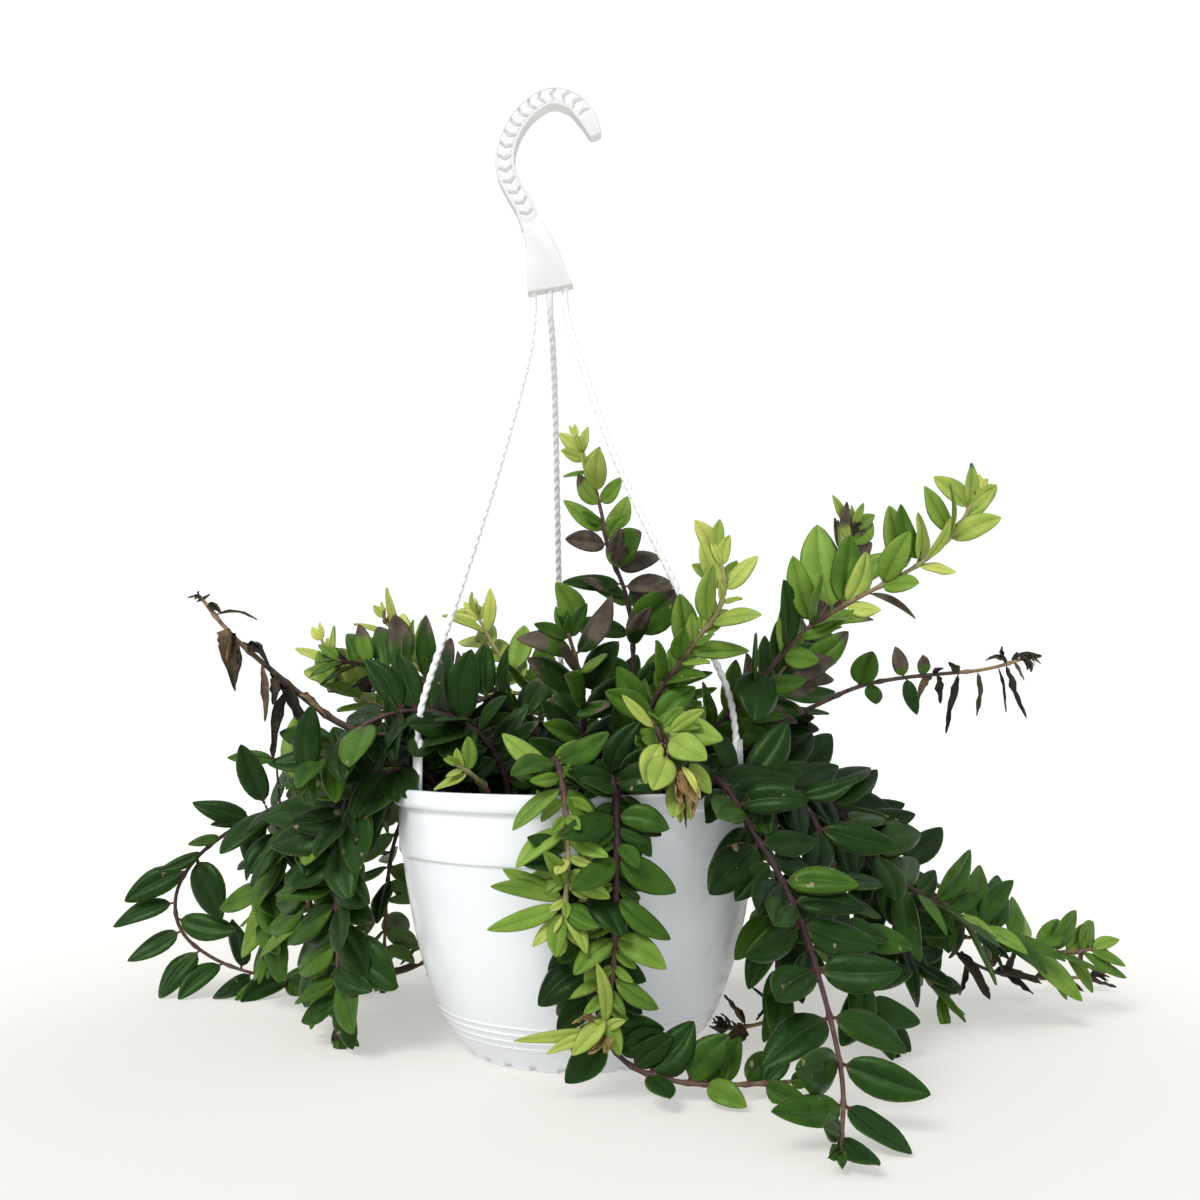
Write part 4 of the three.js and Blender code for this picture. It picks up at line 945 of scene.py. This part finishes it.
def cut_holes(piece):
    """Cuts the drain holes and the slots for the clips."""
    cutter = Build()
    for i in range(DRAIN_HOLES):
        place = polar(DRAIN_RING_RADIUS, 2 * math.pi * (i + 0.5) / DRAIN_HOLES)
        rounds = [circle(DRAIN_HOLE_RADIUS, 32)] * 2
        cutter.add(*swept([(*place, -3), (*place, 6)], rounds, (1, 0, 0)))
    for degrees, _ in ARMS.values():
        cutter.add(*block_mesh(SLOT_SIZE, (CLIP_REACH, 0, LUG_HEIGHT), degrees))
    helper = cutter.object("cutter")
    boolean = piece.modifiers.new("holes", "BOOLEAN")
    boolean.operation, boolean.solver, boolean.use_self, boolean.object = "DIFFERENCE", "EXACT", True, helper
    made = bpy.data.meshes.new_from_object(piece.evaluated_get(bpy.context.evaluated_depsgraph_get()))
    old = piece.data
    piece.modifiers.clear()
    piece.data = made
    bpy.data.meshes.remove(old)
    remove_object(helper)


# Soil


def soil_height(x, y):
    beyond = max(math.hypot(x, y) - SOIL_FLAT_RADIUS, 0)
    fall = SOIL_EDGE_HEIGHT - SOIL_MIDDLE_HEIGHT
    base = SOIL_MIDDLE_HEIGHT + fall * beyond / (SOIL_RADIUS - SOIL_FLAT_RADIUS)
    coarse, fine = Vector((x / 9, y / 9, 3.1)), Vector((x / 2.4, y / 2.4, 7.7))
    return base + 1.6 * noise.noise(coarse) + 0.8 * noise.noise(fine)


def make_soil():
    vertices = [(0, 0, soil_height(0, 0))]
    for ring in range(1, SOIL_RINGS + 1):
        places = circle(SOIL_RADIUS * ring / SOIL_RINGS, SOIL_SEGMENTS)
        vertices += [(x, y, soil_height(x, y)) for x, y in places]
    walls = [(r - POT_WALL - SOIL_GAP, h + 1.2) for r, h in SOIL_SIDES]
    walls = [(SOIL_RADIUS, SOIL_EDGE_BOTTOM), *walls, (SOIL_FOOT_RADIUS, SOIL_BOTTOM)]
    for radius, height in walls:
        vertices += [(x, y, height) for x, y in circle(radius, SOIL_SEGMENTS)]
    vertices.append((0, 0, SOIL_BOTTOM))
    rings = SOIL_RINGS + len(walls)
    build = Build()
    build.add(vertices, flipped(tube_faces(rings, SOIL_SEGMENTS, 1, 0, len(vertices) - 1)))
    dice = Dice(501)
    for _ in range(SOIL_CRUMBS):
        radius = (SOIL_RADIUS - 3) * math.sqrt(dice.next())
        x, y = polar(radius, 2 * math.pi * dice.next())
        size = dice.between(0.7, 2.1)
        add_crumb(build, (x, y, soil_height(x, y) + 0.2 * size), size, dice)
    build.piece("potting_mix", [POTTING_MIX], "soil", "soil", sharp=50)


def add_crumb(build, centre, size, dice):
    stretch = [dice.between(0.5, 1.4), dice.between(0.5, 1.1), dice.between(0.4, 0.8)]
    turn = Quaternion((0, 0, 1), dice.between(0, 6.3))
    vertices = []
    for corner in [(1, 0, 0), (0, 1, 0), (-1, 0, 0), (0, -1, 0), (0, 0, 1), (0, 0, -1)]:
        shaken = Vector([c * s * size * dice.between(0.7, 1.2) for c, s in zip(corner, stretch)])
        vertices.append(tuple(np.array(centre) + np.array(turn @ shaken)))
    faces = [(0, 1, 4), (1, 2, 4), (2, 3, 4), (3, 0, 4), (1, 0, 5), (2, 1, 5), (3, 2, 5), (0, 3, 5)]
    build.add(vertices, faces)


# Hanger


def rounded_section(wide, deep, radius):
    """The corners of a rounded rectangle, starting at the middle of its +across side."""
    points = []
    for cx, cy, start in [(1, 1, 0), (-1, 1, 90), (-1, -1, 180), (1, -1, 270)]:
        points += arc((cx * (wide - radius), cy * (deep - radius)), radius, start, start + 90, 5)
    return points


def add_points_between(points, most):
    """Points round a closed outline, no two of them further apart than the given distance."""
    result = []
    for here, there in zip(points, points[1:] + points[:1]):
        parts = max(int(math.ceil(math.dist(here, there) / most)), 1)
        result += [tuple(h + (t - h) * k / parts for h, t in zip(here, there)) for k in range(parts)]
    return result


def hook_section(base, s, left):
    """The band's section a distance s from its foot: bordered faces with pointed pads, tapered at the tip."""
    half, deep_half = HOOK_THICKNESS / 2, HOOK_DEPTH / 2
    taper = 1 - 0.42 * (1 - min(left / HOOK_TIP, 1)) ** 1.6 - 0.26 * (1 - smoothstep(s, 0, 8))
    if left < 1.6:
        taper *= math.sqrt(max(1 - ((1.6 - left) / 1.75) ** 2, 0.05))
    padded = smoothstep(left, HOOK_TIP - 4, HOOK_TIP) * smoothstep(s, 1, 3)
    section = []
    for across, deep in base:
        w = abs(across) / half
        sunk = 0.0
        if abs(deep) > deep_half - 0.05:
            at = (s - CHEVRON_SLANT * w) % CHEVRON_PITCH
            off = min(at, CHEVRON_PITCH - at)
            groove = CHEVRON_DEPTH * math.exp(-((off / CHEVRON_WIDTH) ** 2))
            groove *= 1 - smoothstep(w, 0.58, 0.72)
            border = BORDER_DEPTH * math.exp(-(((w - 0.68) / 0.06) ** 2))
            sunk = max(groove, border) * padded
        section.append((across * taper, (deep - math.copysign(sunk, deep)) * (0.35 + 0.65 * taper)))
    return section


def make_hook():
    line = Line([(x, 0, z) for x, z in HOOK_LINE])
    centres = line.even(HOOK_STEP)
    base = add_points_between(rounded_section(HOOK_THICKNESS / 2, HOOK_DEPTH / 2, HOOK_CORNER), 0.45)
    step = line.length / (len(centres) - 1)
    sections = [hook_section(base, i * step, line.length - i * step) for i in range(len(centres))]
    build = Build()
    build.add(*swept(centres, sections, (1, 0, 0)))
    outline = add_points_between(BLOCK_OUTLINE, 3)
    centre = np.mean(np.array(outline), axis=0)
    vertices = []
    for depth, inset in BLOCK_ROWS:
        for x, z in outline:
            away = unit(np.array((x, z)) - centre)
            vertices.append((x - away[0] * inset, depth * BLOCK_DEPTH / 2, z - away[1] * inset))
    count = len(outline)
    faces = flipped(ring_faces(len(BLOCK_ROWS), count, 0))
    faces += [tuple(range(count)), tuple(range(len(vertices) - 1, len(vertices) - 1 - count, -1))]
    build.add(vertices, faces)
    build.piece("basket_hook", [HANGER_WHITE], "hanger_hook", "hanger_plastic", sharp=35)


def arm_line(side):
    degrees, route = ARMS[side]
    return Line([*route, (*polar(CLIP_REACH, math.radians(degrees)), ARM_BOTTOM)])


def make_arm(side):
    line = arm_line(side)
    centres = line.even(ARM_STEP)
    step = line.length / (len(centres) - 1)
    sections = []
    for i in range(len(centres)):
        s = i * step
        roped = smoothstep(s, *ROPE_STARTS)
        section = []
        for k in range(ARM_SIDES):
            a = 2 * math.pi * k / ARM_SIDES
            lobes = abs(math.cos(a - 2 * math.pi * s / ROPE_PITCH))
            section.append(polar(ARM_RADIUS * (1 - roped * ROPE_DEPTH * (1 - lobes)), a))
        sections.append(section)
    build = Build()
    build.add(*swept(centres, sections, (0, 1, 0)))
    for size, reach, height in (CLIP, BARB):
        build.add(*block_mesh(size, (reach, 0, height), ARMS[side][0], LUG_EDGE))
    # Painted light and shade: the back arm takes the darker copy of the hanger's white, the front arms the
    # lighter one.
    white = HANGER_WHITE if side == "back" else LIT_ARM_WHITE
    build.piece("basket_arm_" + side, [white], "hanger_arm_" + side, "hanger_plastic", sharp=60)


# Leaves


def light_at(place, facing):
    """The way that a leaf at a place turns its face: outward, forward and up."""
    outward = np.array((place[0], place[1], 0.0))
    outward = outward / max(np.linalg.norm(outward), MIDDLE_REACH) * FACING_OUT
    return unit(outward + np.array((0, -facing, FACING_UP)))


def draw_leaf(dice):
    return {
        "turn": dice.between(-TURN_DRAW, TURN_DRAW), "lean": dice.between(-LEAN_DRAW, LEAN_DRAW),
        "size": dice.between(*SIZE_DRAW), "roll": dice.between(-ROLL_DRAW, ROLL_DRAW),
        "droop": dice.between(*DROOP_DRAW), "twist": dice.between(-1, 1),
    }


def leaf_pose(stem, place, tangent, done, spread, side_sign, draw, attempt):
    turn_try, lean_try, size_try = attempt
    young = smoothstep(done, YOUNG_FROM, YOUNGEST_AT)
    is_dried = done > stem["dries_from"]
    shape = DRIED if is_dried else FRESH
    light = light_at(place, stem["facing"])
    around = side_sign * (spread + turn_try) + draw["turn"]
    usual_lean = HABITS[stem["habit"]]["lean"] * (1 - YOUNG_LEAN * young)
    lean = math.radians(max(usual_lean + draw["lean"] + lean_try, LEAST_LEAN))
    outward = turned_about(square_to(light, tangent), tangent, around)
    along = tangent * math.cos(lean) + outward * math.sin(lean)
    if is_dried:
        along = along - upward(DRIED["hang"] * smoothstep(place[2], *HANG_HEIGHTS))
    along = unit(along)
    length = stem["leaf"] * draw["size"] * size_try * (1 - YOUNG_SIZE * young)
    return {
        "root": place, "along": along, "normal": turned_about(square_to(light, along), along, draw["roll"]),
        "length": length, "width": length * shape["across"], "fold": shape["fold"],
        "twist": shape["twist"] * draw["twist"], "droop": DRIED["droop"] if is_dried else draw["droop"],
        "is_dried": is_dried,
    }


def pose_point(pose, part):
    droop = pose["droop"] * pose["length"] * part * part
    return pose["root"] + pose["along"] * part * pose["length"] - pose["normal"] * droop


def blade_outline(part):
    """Half the width of a leaf, out of 1, at a part of its length: a thin stalk and then the blade."""
    t = (part - PETIOLE) / (1 - PETIOLE)
    if t <= 0:
        return 0.1
    blade = math.sin(math.pi * t**0.8) ** (0.56 + 0.14 * t) if t < 1 else 0
    return max(blade, 0.1 * (1 - smoothstep(t, 0, 0.2)))


RING = [(v, True) for v in ACROSS_TOP] + [(v, False) for v in ACROSS_BELOW]


def blade_faces():
    """A leaf's faces with their UVs: along from 0 to 1, and across from -1 to 1, moved aside below."""
    count, rings = len(RING), BLADE_ROWS - 1
    end = 1 + rings * count
    faces = flipped(tube_faces(rings, count, 1, 0, end))
    quads = (rings - 1) * count
    uvs = []
    for n, face in enumerate(faces):
        column = n % count if n < quads else (n - quads) // 2
        aside = BELOW_SHIFT if column >= len(ACROSS_TOP) - 1 else 0.0
        across = [0 if v in (0, end) else RING[(v - 1) % count][0] for v in face]
        uvs.append([((v + count - 1) // count / BLADE_ROWS, a + aside) for v, a in zip(face, across)])
    return faces, uvs


BLADE_FACES, BLADE_UVS = blade_faces()


def fresh_section(half, pose, part, shape):
    """Sideways and upward distances over a fresh leaf: two puffed halves, a midrib groove, bent edges."""
    section = []
    for v, is_top in RING:
        spread = abs(v)
        puff = shape["crown"] * spread * (1 - spread) * 1.6
        lift = half * (pose["fold"] * shape["open"] * spread**0.8 + puff)
        lift -= half * shape["edge"] * spread**4
        lift += half * shape["wave"] * spread * math.sin(part * 9 + shape["phase"] + (1.5 if v > 0 else 0))
        lift -= 0.2 * math.exp(-((v / 0.12) ** 2))
        if not is_top:
            thick = LEAF_THICKNESS * (0.5 + 0.5 * math.sin(math.pi * part))
            lift -= thick * (1.05 - v * v) + 0.3 * math.exp(-((v / 0.2) ** 2))
        section.append((v * half, lift))
    return section


def dried_section(half, part, shape):
    """The same over a dried leaf, which has rolled up lengthways and shrunk."""
    curl = shape["curl"] * (0.55 + 0.6 * part)
    section = []
    for v, is_top in RING:
        radius = half / curl + (0.0 if is_top else 0.45 * (1.05 - v * v))
        place = shape["shake"] + Vector((part * 8, v * 0.9, 0))
        crinkle = noise.noise(place) * 1.8 * min(half, 3) / 3
        drift = noise.noise(place + Vector((0, 20, 0))) * 1.6 * min(half, 3) / 3
        across, deep = radius * math.sin(v * curl), radius * math.cos(v * curl)
        section.append((across + drift, half / curl - deep + crinkle))
    return section


def blade_vertices(pose, dice):
    root, along, normal, length = pose["root"], pose["along"], pose["normal"], pose["length"]
    is_dried = pose["is_dried"]
    side = np.cross(along, normal)
    shape = {name: dice.between(*limits) for name, limits in SHAPE_DRAWS.items()}
    shape["shake"] = Vector((dice.between(0, 50), dice.between(0, 50), 0))
    loose = DRIED_LOOSE if is_dried else 1
    bend = dice.between(-BEND, BEND) * length * loose
    sway = dice.between(-SWAY, SWAY) * length * loose
    hook, sag, widen = 0, 0, WIDER * pose.get("wide", 1)
    if is_dried:
        hook = dice.between(*DRIED_HOOK) * length
        sag = dice.between(*DRIED_SAG) * length * smoothstep(root[2], *HANG_HEIGHTS)
        widen = dice.between(*DRIED_WIDE)
    vertices = [root]
    for row in range(1, BLADE_ROWS + 1):
        # Rows lie closer together at the stalk and at the tip.
        t = row / BLADE_ROWS
        part = t - 0.1 * math.sin(2 * math.pi * t)
        turn = pose["twist"] * part
        arch = math.sin(math.pi * part)
        centre = root + along * part * length + side * bend * arch
        centre = centre + normal * (sway * arch - pose["droop"] * length * part * part)
        centre = centre + normal * hook * max(part - 0.7, 0)
        centre[2] -= sag * part * part
        if row == BLADE_ROWS:
            vertices.append(centre)
            break
        half = pose["width"] / 2 * blade_outline(part) * widen
        section = dried_section(half, part, shape) if is_dried else fresh_section(half, pose, part, shape)
        for sideways, lift in section:
            point = centre + side * (sideways * math.cos(turn) - lift * math.sin(turn))
            vertices.append(point + normal * (sideways * math.sin(turn) + lift * math.cos(turn)))
    return above_floor(vertices)


def above_floor(vertices):
    for vertex in vertices:
        vertex[2] = max(vertex[2], LOWEST)
    return vertices


# Stems


def stem_line(stem):
    base = [(*stem["root"], height) for height in (STEM_BOTTOM, SOIL_MIDDLE_HEIGHT, STEM_STRAIGHT_TOP)]
    return Line(base + stem["route"])


def curve_point(before, corner, after, part):
    """A point of the curve that touches two straight lengths at their middles."""
    start, end = (before + corner) / 2, (corner + after) / 2
    return start * (1 - part) ** 2 + corner * 2 * part * (1 - part) + end * part * part


def smooth_line(corners, steps=6):
    points = [corners[0]]
    for before, corner, after in zip(corners, corners[1:], corners[2:]):
        points += [curve_point(before, corner, after, k / steps) for k in range(steps)]
    return points + [(corners[-2] + corners[-1]) / 2, corners[-1]]


def spaced(points, step):
    """Points a step apart along a bent line."""
    lengths = lengths_along(points)
    result = []
    for k in range(int(lengths[-1] / step)):
        i = min(bisect_right(lengths, k * step) - 1, len(points) - 2)
        part = (k * step - lengths[i]) / (lengths[i + 1] - lengths[i])
        result.append(points[i] * (1 - part) + points[i + 1] * part)
    return result + [points[-1]]


def pot_radius(height):
    """The pot's outside radius at a height."""
    if height > BOWL_OUTLINE[-1][1]:
        return RIM_RADIUS
    return np.interp(height, [h for _, h in BOWL_OUTLINE], [r for r, _ in BOWL_OUTLINE])


def is_clear(pose):
    """Whether a leaf keeps out of the pot's wall, the soil, the floor and the hanger's arms."""
    side = np.cross(pose["along"], pose["normal"])
    starts_inside = math.hypot(pose["root"][0], pose["root"][1]) < INSIDE_RADIUS
    for part in (0.3, 0.5, 0.7, 0.85, 1.0):
        centre = pose_point(pose, part)
        half = pose["width"] / 2 if part < 0.9 else 0
        for point in (centre, centre + side * half, centre - side * half):
            radius, height = math.hypot(point[0], point[1]), point[2]
            if height < 1 or ARM_TREE.find(point)[2] < ARM_RADIUS + CLEAR_BY:
                return False
            is_low = height < INSIDE_HEIGHT
            if starts_inside and (height < SOIL_MIDDLE_HEIGHT + 1 or (is_low and radius > INSIDE_RADIUS)):
                return False
            if not starts_inside and is_low and radius < pot_radius(height) + CLEAR_BY:
                return False
    return True


class Spray:
    """One stem with its leaves, grown in step with its solid."""

    def __init__(self, stem, number):
        self.stem = stem
        self.solid = tree_of([v.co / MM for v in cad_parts[stem["name"]].data.vertices])
        self.line = stem_line(stem)
        self.count = int(math.floor(self.line.length / stem["spacing"] + 0.5))
        self.corners = [self.line.at_part(i / self.count) for i in range(self.count + 1)]
        self.centres = spaced(smooth_line(self.corners), STEM_STEP)
        self.centre_tree = tree_of(self.centres)
        self.dice = Dice(number)
        self.finer = Dice(number + 1000)
        self.build = Build()
        self.pair_places = []

    def grow(self):
        self.add_pairs()
        self.add_pairs_between()
        self.add_foot_pairs()
        self.add_tip()
        self.add_placed()
        self.add_stem()
        node = self.stem["name"]
        self.build.piece(node.replace("stem_", "spray_"), [LEAF, BARK], node, "leaf_" + self.stem["tone"])

    def tone(self, done):
        low, high = self.stem["tones"]
        odd = ODD_TONE if self.finer.next() > ODD_ABOVE else 0
        return low + (high - low) * smoothstep(done, 0.25, 1.0) + self.finer.between(-0.1, 0.12) + odd

    def dryness(self, done):
        """1 for a dead leaf, 0 for a fresh one, and between them how far a leaf has wilted from its tip."""
        if done > self.stem["dries_from"]:
            return 1.0
        start, end = self.stem["wilted"]
        chance = self.finer.next()
        if start < done < end:
            return 0.3 + 0.35 * chance
        return 0.36 if chance > 0.95 else 0.0

    def add_blade(self, pose, traits):
        self.build.add(blade_vertices(pose, self.finer), BLADE_FACES, traits, 0, BLADE_UVS)

    def add_leaf(self, pose, done, tone_more=0.0):
        tone = min(max(self.tone(done) + tone_more, 0), 1)
        dryness = 1.0 if pose["is_dried"] else self.dryness(done)
        traits = (tone, dryness, self.finer.next(), 1.0)
        pose["wide"] = self.stem["wide"] * self.finer.between(*WIDTH_DRAW)
        pose["length"] *= self.stem["long"]
        if pose["along"][2] < 0.1 and done > 0.45:
            pose["length"] *= self.stem["low_long"]
        self.add_blade(pose, traits)

    def rolled(self, pose):
        """The leaf turned a little about its own length, with its tip kept in place."""
        tip = pose_point(pose, 1)
        normal = turned_about(pose["normal"], pose["along"], self.finer.between(-ROLL_MORE, ROLL_MORE))
        along = tip + normal * pose["droop"] * pose["length"] - pose["root"]
        length = float(np.linalg.norm(along))
        along = along / length
        return {**pose, "along": along, "normal": square_to(normal, along), "length": length}

    def add_pairs(self):
        """The solid's own pairs, each leaf in the one of the tried ways that the solid holds."""
        spreads = HABITS[self.stem["habit"]]["spread"]
        for i, (low, high) in enumerate(zip(self.corners, self.corners[1:])):
            done = (i + 0.5) / self.count
            if done * self.line.length < FIRST_LEAF:
                continue
            place, tangent, spread = (low + high) / 2, unit(high - low), spreads[i % 2]
            self.pair_places.append(place)
            for side_sign in (1, -1):
                draw = draw_leaf(self.dice)
                for attempt in LEAF_TRIES:
                    pose = leaf_pose(self.stem, place, tangent, done, spread, side_sign, draw, attempt)
                    if self.solid.find(pose_point(pose, 1))[2] < FOUND_WITHIN:
                        if done <= self.stem["placed_from"]:
                            self.add_leaf(self.rolled(pose), done)
                        break

    def add_extra_pair(self, place, tangent, done, turned, size):
        self.pair_places.append(place)
        for side_sign in (1, -1):
            draw = draw_leaf(self.finer)
            away = turned + 90 + self.finer.between(-EXTRA_TURN, EXTRA_TURN)
            attempt = (0, self.finer.between(*EXTRA_LEAN), size)
            pose = leaf_pose(self.stem, place, tangent, done, away, side_sign, draw, attempt)
            if is_clear(pose):
                self.add_leaf(pose, done)

    def add_pairs_between(self):
        stem, corners = self.stem, self.corners
        if stem["spacing"] < SPACING_FOR_ONE:
            return
        parts = [0.3, 0.7] if stem["is_tufted"] or stem["spacing"] > SPACING_FOR_TWO else [0.5]
        most = min(stem["sparse_from"], stem["placed_from"])
        for i in range(1, self.count):
            for part in parts:
                done = (i - 0.5 + part) / self.count
                if done * self.line.length < EXTRA_FROM or done > most:
                    continue
                place = curve_point(corners[i - 1], corners[i], corners[i + 1], part)
                tangent = unit(corners[i + 1] - corners[i - 1])
                size = self.finer.between(*(TUFT_SIZE if stem["is_tufted"] else EXTRA_SIZE))
                if done > stem["dries_from"]:
                    size *= self.finer.between(*DRIED_SIZE)
                    if self.finer.next() > DRIED_KEPT:
                        continue
                turned = self.finer.between(-EXTRA_AROUND, EXTRA_AROUND)
                self.add_extra_pair(place, tangent, done, turned, size)

    def add_foot_pairs(self):
        for distance in range(FOOT_LEAVES_FROM, FIRST_LEAF, FOOT_SPACING):
            done = distance / self.line.length
            place = self.line.at_part(done)
            tangent = unit(self.line.at_part(done + 0.01) - place)
            turned = self.finer.between(-FOOT_AROUND, FOOT_AROUND)
            self.add_extra_pair(place, tangent, done, turned, self.finer.between(*FOOT_SIZE))

    def add_tip(self):
        """The youngest leaves at the stem's end, or a crisp crown where the end has died back."""
        stem = self.stem
        end, tangent = self.corners[-1], unit(self.corners[-1] - self.corners[-2])
        pairs = TIP_PAIRS[:1] if stem["has_bud"] else TIP_PAIRS
        if stem["dries_from"] < 1:
            pairs = []
        for i, (size, is_level, lean) in enumerate(pairs):
            place = end - tangent * (TIP_START + TIP_SPACING * i)
            for side_sign, across in ((1, 0), (-1, 180)):
                spread = 90 if is_level else across
                draw = draw_leaf(self.finer)
                pose = leaf_pose(stem, place, tangent, 1.0, spread, side_sign, draw, (0, 0, 1))
                cos, sin = polar(1, math.radians(lean))
                pose["along"] = unit(tangent * cos + square_to(pose["along"], tangent) * sin)
                pose["normal"] = square_to(pose["normal"], pose["along"])
                pose["length"] = stem["leaf"] * size * self.finer.between(*TIP_SIZE)
                pose["width"] = pose["length"] * TIP_ACROSS
                self.add_leaf(pose, 1.0, TIP_PALER)
        count, most = stem["crown"]
        for _ in range(count):
            self.add_crown_leaf(end, tangent, most)

    def add_crown_leaf(self, end, tangent, most):
        dice = self.finer
        draw = draw_leaf(dice)
        place = end - tangent * dice.between(0, most * 0.8)
        around, lean = dice.between(0, 360), dice.between(-30, 30)
        pose = leaf_pose(self.stem, place, tangent, 1.0, around, 1, draw, (0, lean, 1))
        pose["along"] = unit(pose["along"] + upward(dice.between(0, 1.1)))
        pose["normal"] = square_to(pose["normal"], pose["along"])
        pose["length"] = dice.between(0.4, 1) * most
        pose["width"] = pose["length"] * CROWN_ACROSS
        pose["twist"] = dice.between(-1.5, 1.5)
        pose["is_dried"] = True
        self.add_leaf(pose, 1.0)

    def add_shoot(self, end, gap):
        """A thin side shoot from the stem to a leaf that stands off it."""
        start = np.array(self.centre_tree.find(end - upward(0.8 * gap))[0])
        middle = (start + end) / 2 + upward(-0.15 * gap)
        centres = smooth_line([start, middle, end])
        sections = [circle(SHOOT_RADIUS, SHOOT_SIDES)] * len(centres)
        self.build.add(*swept(centres, sections, (1, 0, 0)), SHOOT_TRAITS, 1)

    def add_placed(self):
        """The listed leaves, each placed from its foot to its tip."""
        for foot, tip, across, tone, *dried in PLACED_LEAVES.get(self.stem["name"], []):
            dryness = dried[0] if dried else 0
            root = np.array(foot, float)
            nearest, _, gap = self.centre_tree.find(root)
            if gap > SHOOT_FROM:
                self.add_shoot(root, gap)
            else:
                root = np.array(nearest)
            along = np.array(tip, float) - root
            length = float(np.linalg.norm(along))
            along = along / length
            pose = {
                "root": root, "along": along, "normal": square_to(light_at(root, PLACED_FACING), along),
                "length": length, "width": length * across, "fold": FRESH["fold"], "droop": 0.06,
                "twist": self.finer.between(-0.4, 0.4), "is_dried": dryness == 1,
            }
            self.add_blade(pose, (tone, dryness, self.finer.next(), 1.0))

    def add_stem(self):
        """The woody stem, thicker at its foot and swollen where leaves leave it."""
        pairs = tree_of(self.pair_places)
        dries_from = self.stem["dries_from"]
        paling, pales_from = (0.85, 0.25) if self.stem["tone"] == "pale" else (0.6, 0.4)
        sections, traits = [], []
        for i, centre in enumerate(self.centres):
            done = i / (len(self.centres) - 1)
            radius = STEM_RADIUS + (STEM_TIP_RADIUS - STEM_RADIUS) * done
            radius += NODE_SWELLING * math.exp(-((pairs.find(centre)[2] / 2.0) ** 2))
            radius *= 1 + (self.stem["stout"] - 1) * math.sin(math.pi * done)
            sections.append(circle(radius, STEM_SIDES))
            tone = 0.08 + paling * smoothstep(done, pales_from, pales_from + 0.6)
            dry = 0
            if dries_from < 1:
                dry = 0.55 * smoothstep(done, dries_from - 0.1, dries_from + 0.1)
                dry += 0.45 * smoothstep(done, 0.72, 0.92)
            traits += [(tone, dry, 0.5, 1.0)] * STEM_SIDES
        vertices, faces = swept(self.centres, sections, (1, 0, 0))
        self.build.add(above_floor(vertices), faces, traits + [traits[0], traits[-1]], 1)


# The whole plant

make_pot()
make_soil()
make_hook()
for arm_side in ARMS:
    make_arm(arm_side)
ARM_TREE = tree_of([point for arm_side in ARMS for point in arm_line(arm_side).even(2)])
for number, grown in enumerate(STEMS, 1):
    Spray(grown, number).grow()

# Floor, light and camera


def make_floor():
    """A pale floor that glows with painted light, which lifts its shadows; the glow is weaker near the plant,
    so the floor there is darker.
    """
    nodes = Material("studio_floor", 0.9, 0.1)
    nodes.set("Base Color", nodes.ramp(nodes.noise(3.0, 2), FLOOR_GREYS_UNDER_GLOW))
    # Painted light: the floor glows though it is no lamp, less near the plant and more away from it.
    nodes.set("Emission Color", (1.0, 0.985, 0.93, 1))
    place = nodes.add("TexCoord").outputs["Object"]
    away = nodes.fed(nodes.add("VectorMath", operation="LENGTH"), place)
    nodes.set("Emission Strength", nodes.smooth(away.outputs["Value"], 0.2, 0.7, 0.44, 0.68))
    reach = FLOOR_REACH
    corners = [(-reach, -reach, 0), (reach, -reach, 0), (reach, reach, 0), (-reach, reach, 0)]
    floor = new_object("studio_floor", corners, [(0, 1, 2, 3)])
    floor.data.materials.append(nodes.material)


def make_light(name, direction, power, angle, colour, in_gloss):
    """A light as broad as the given angle, that falls in the given direction and may show in gloss."""
    lamp = bpy.data.lights.new(name, "SUN")
    lamp.energy, lamp.angle, lamp.color = power, math.radians(angle), colour
    light = bpy.data.objects.new(name, lamp)
    light.rotation_euler = Vector(direction).to_track_quat("-Z", "Y").to_euler()
    light.visible_glossy = in_gloss
    bpy.context.scene.collection.objects.link(light)


def make_world():
    """A white studio, brighter from above, that casts less light than it shows."""
    world = bpy.data.worlds.new("studio")
    bpy.context.scene.world = world
    world.use_nodes = True
    nodes = Nodes(world.node_tree)
    background = world.node_tree.nodes["Background"]
    background.inputs["Color"].default_value = (0.95, 0.975, 1.0, 1)
    direction = nodes.fed(nodes.add("SeparateXYZ"), nodes.add("TexCoord").outputs["Generated"])
    cast = nodes.smooth(direction.outputs[2], -0.1, 0.9, 0.4, 0.76)
    is_seen = nodes.add("LightPath").outputs["Is Camera Ray"]
    more = nodes.math("SUBTRACT", SKY_SHOWN, cast)
    nodes.join(nodes.scaled(is_seen, more, cast), background.inputs["Strength"])


def make_camera():
    lens = bpy.data.cameras.new("photograph_view")
    lens.lens, lens.sensor_width, lens.clip_start = 36, 36, 0.01
    camera = bpy.data.objects.new("photograph_view", lens)
    camera.location = (0.0113, -0.664, 0.169)
    camera.rotation_euler = (math.radians(95.94), 0, 0)
    bpy.context.scene.collection.objects.link(camera)
    bpy.context.scene.camera = camera


make_floor()
make_light("key", (0.5, 0.75, -0.95), 2.35, 26, (1.0, 0.98, 0.95), True)
make_light("fill", (-0.5, 1.0, -0.1), 1.0, 70, (0.88, 0.94, 1.0), False)
make_world()
make_camera()
bpy.context.scene.view_settings.view_transform = "Standard"
bpy.context.scene.view_settings.look = "None"
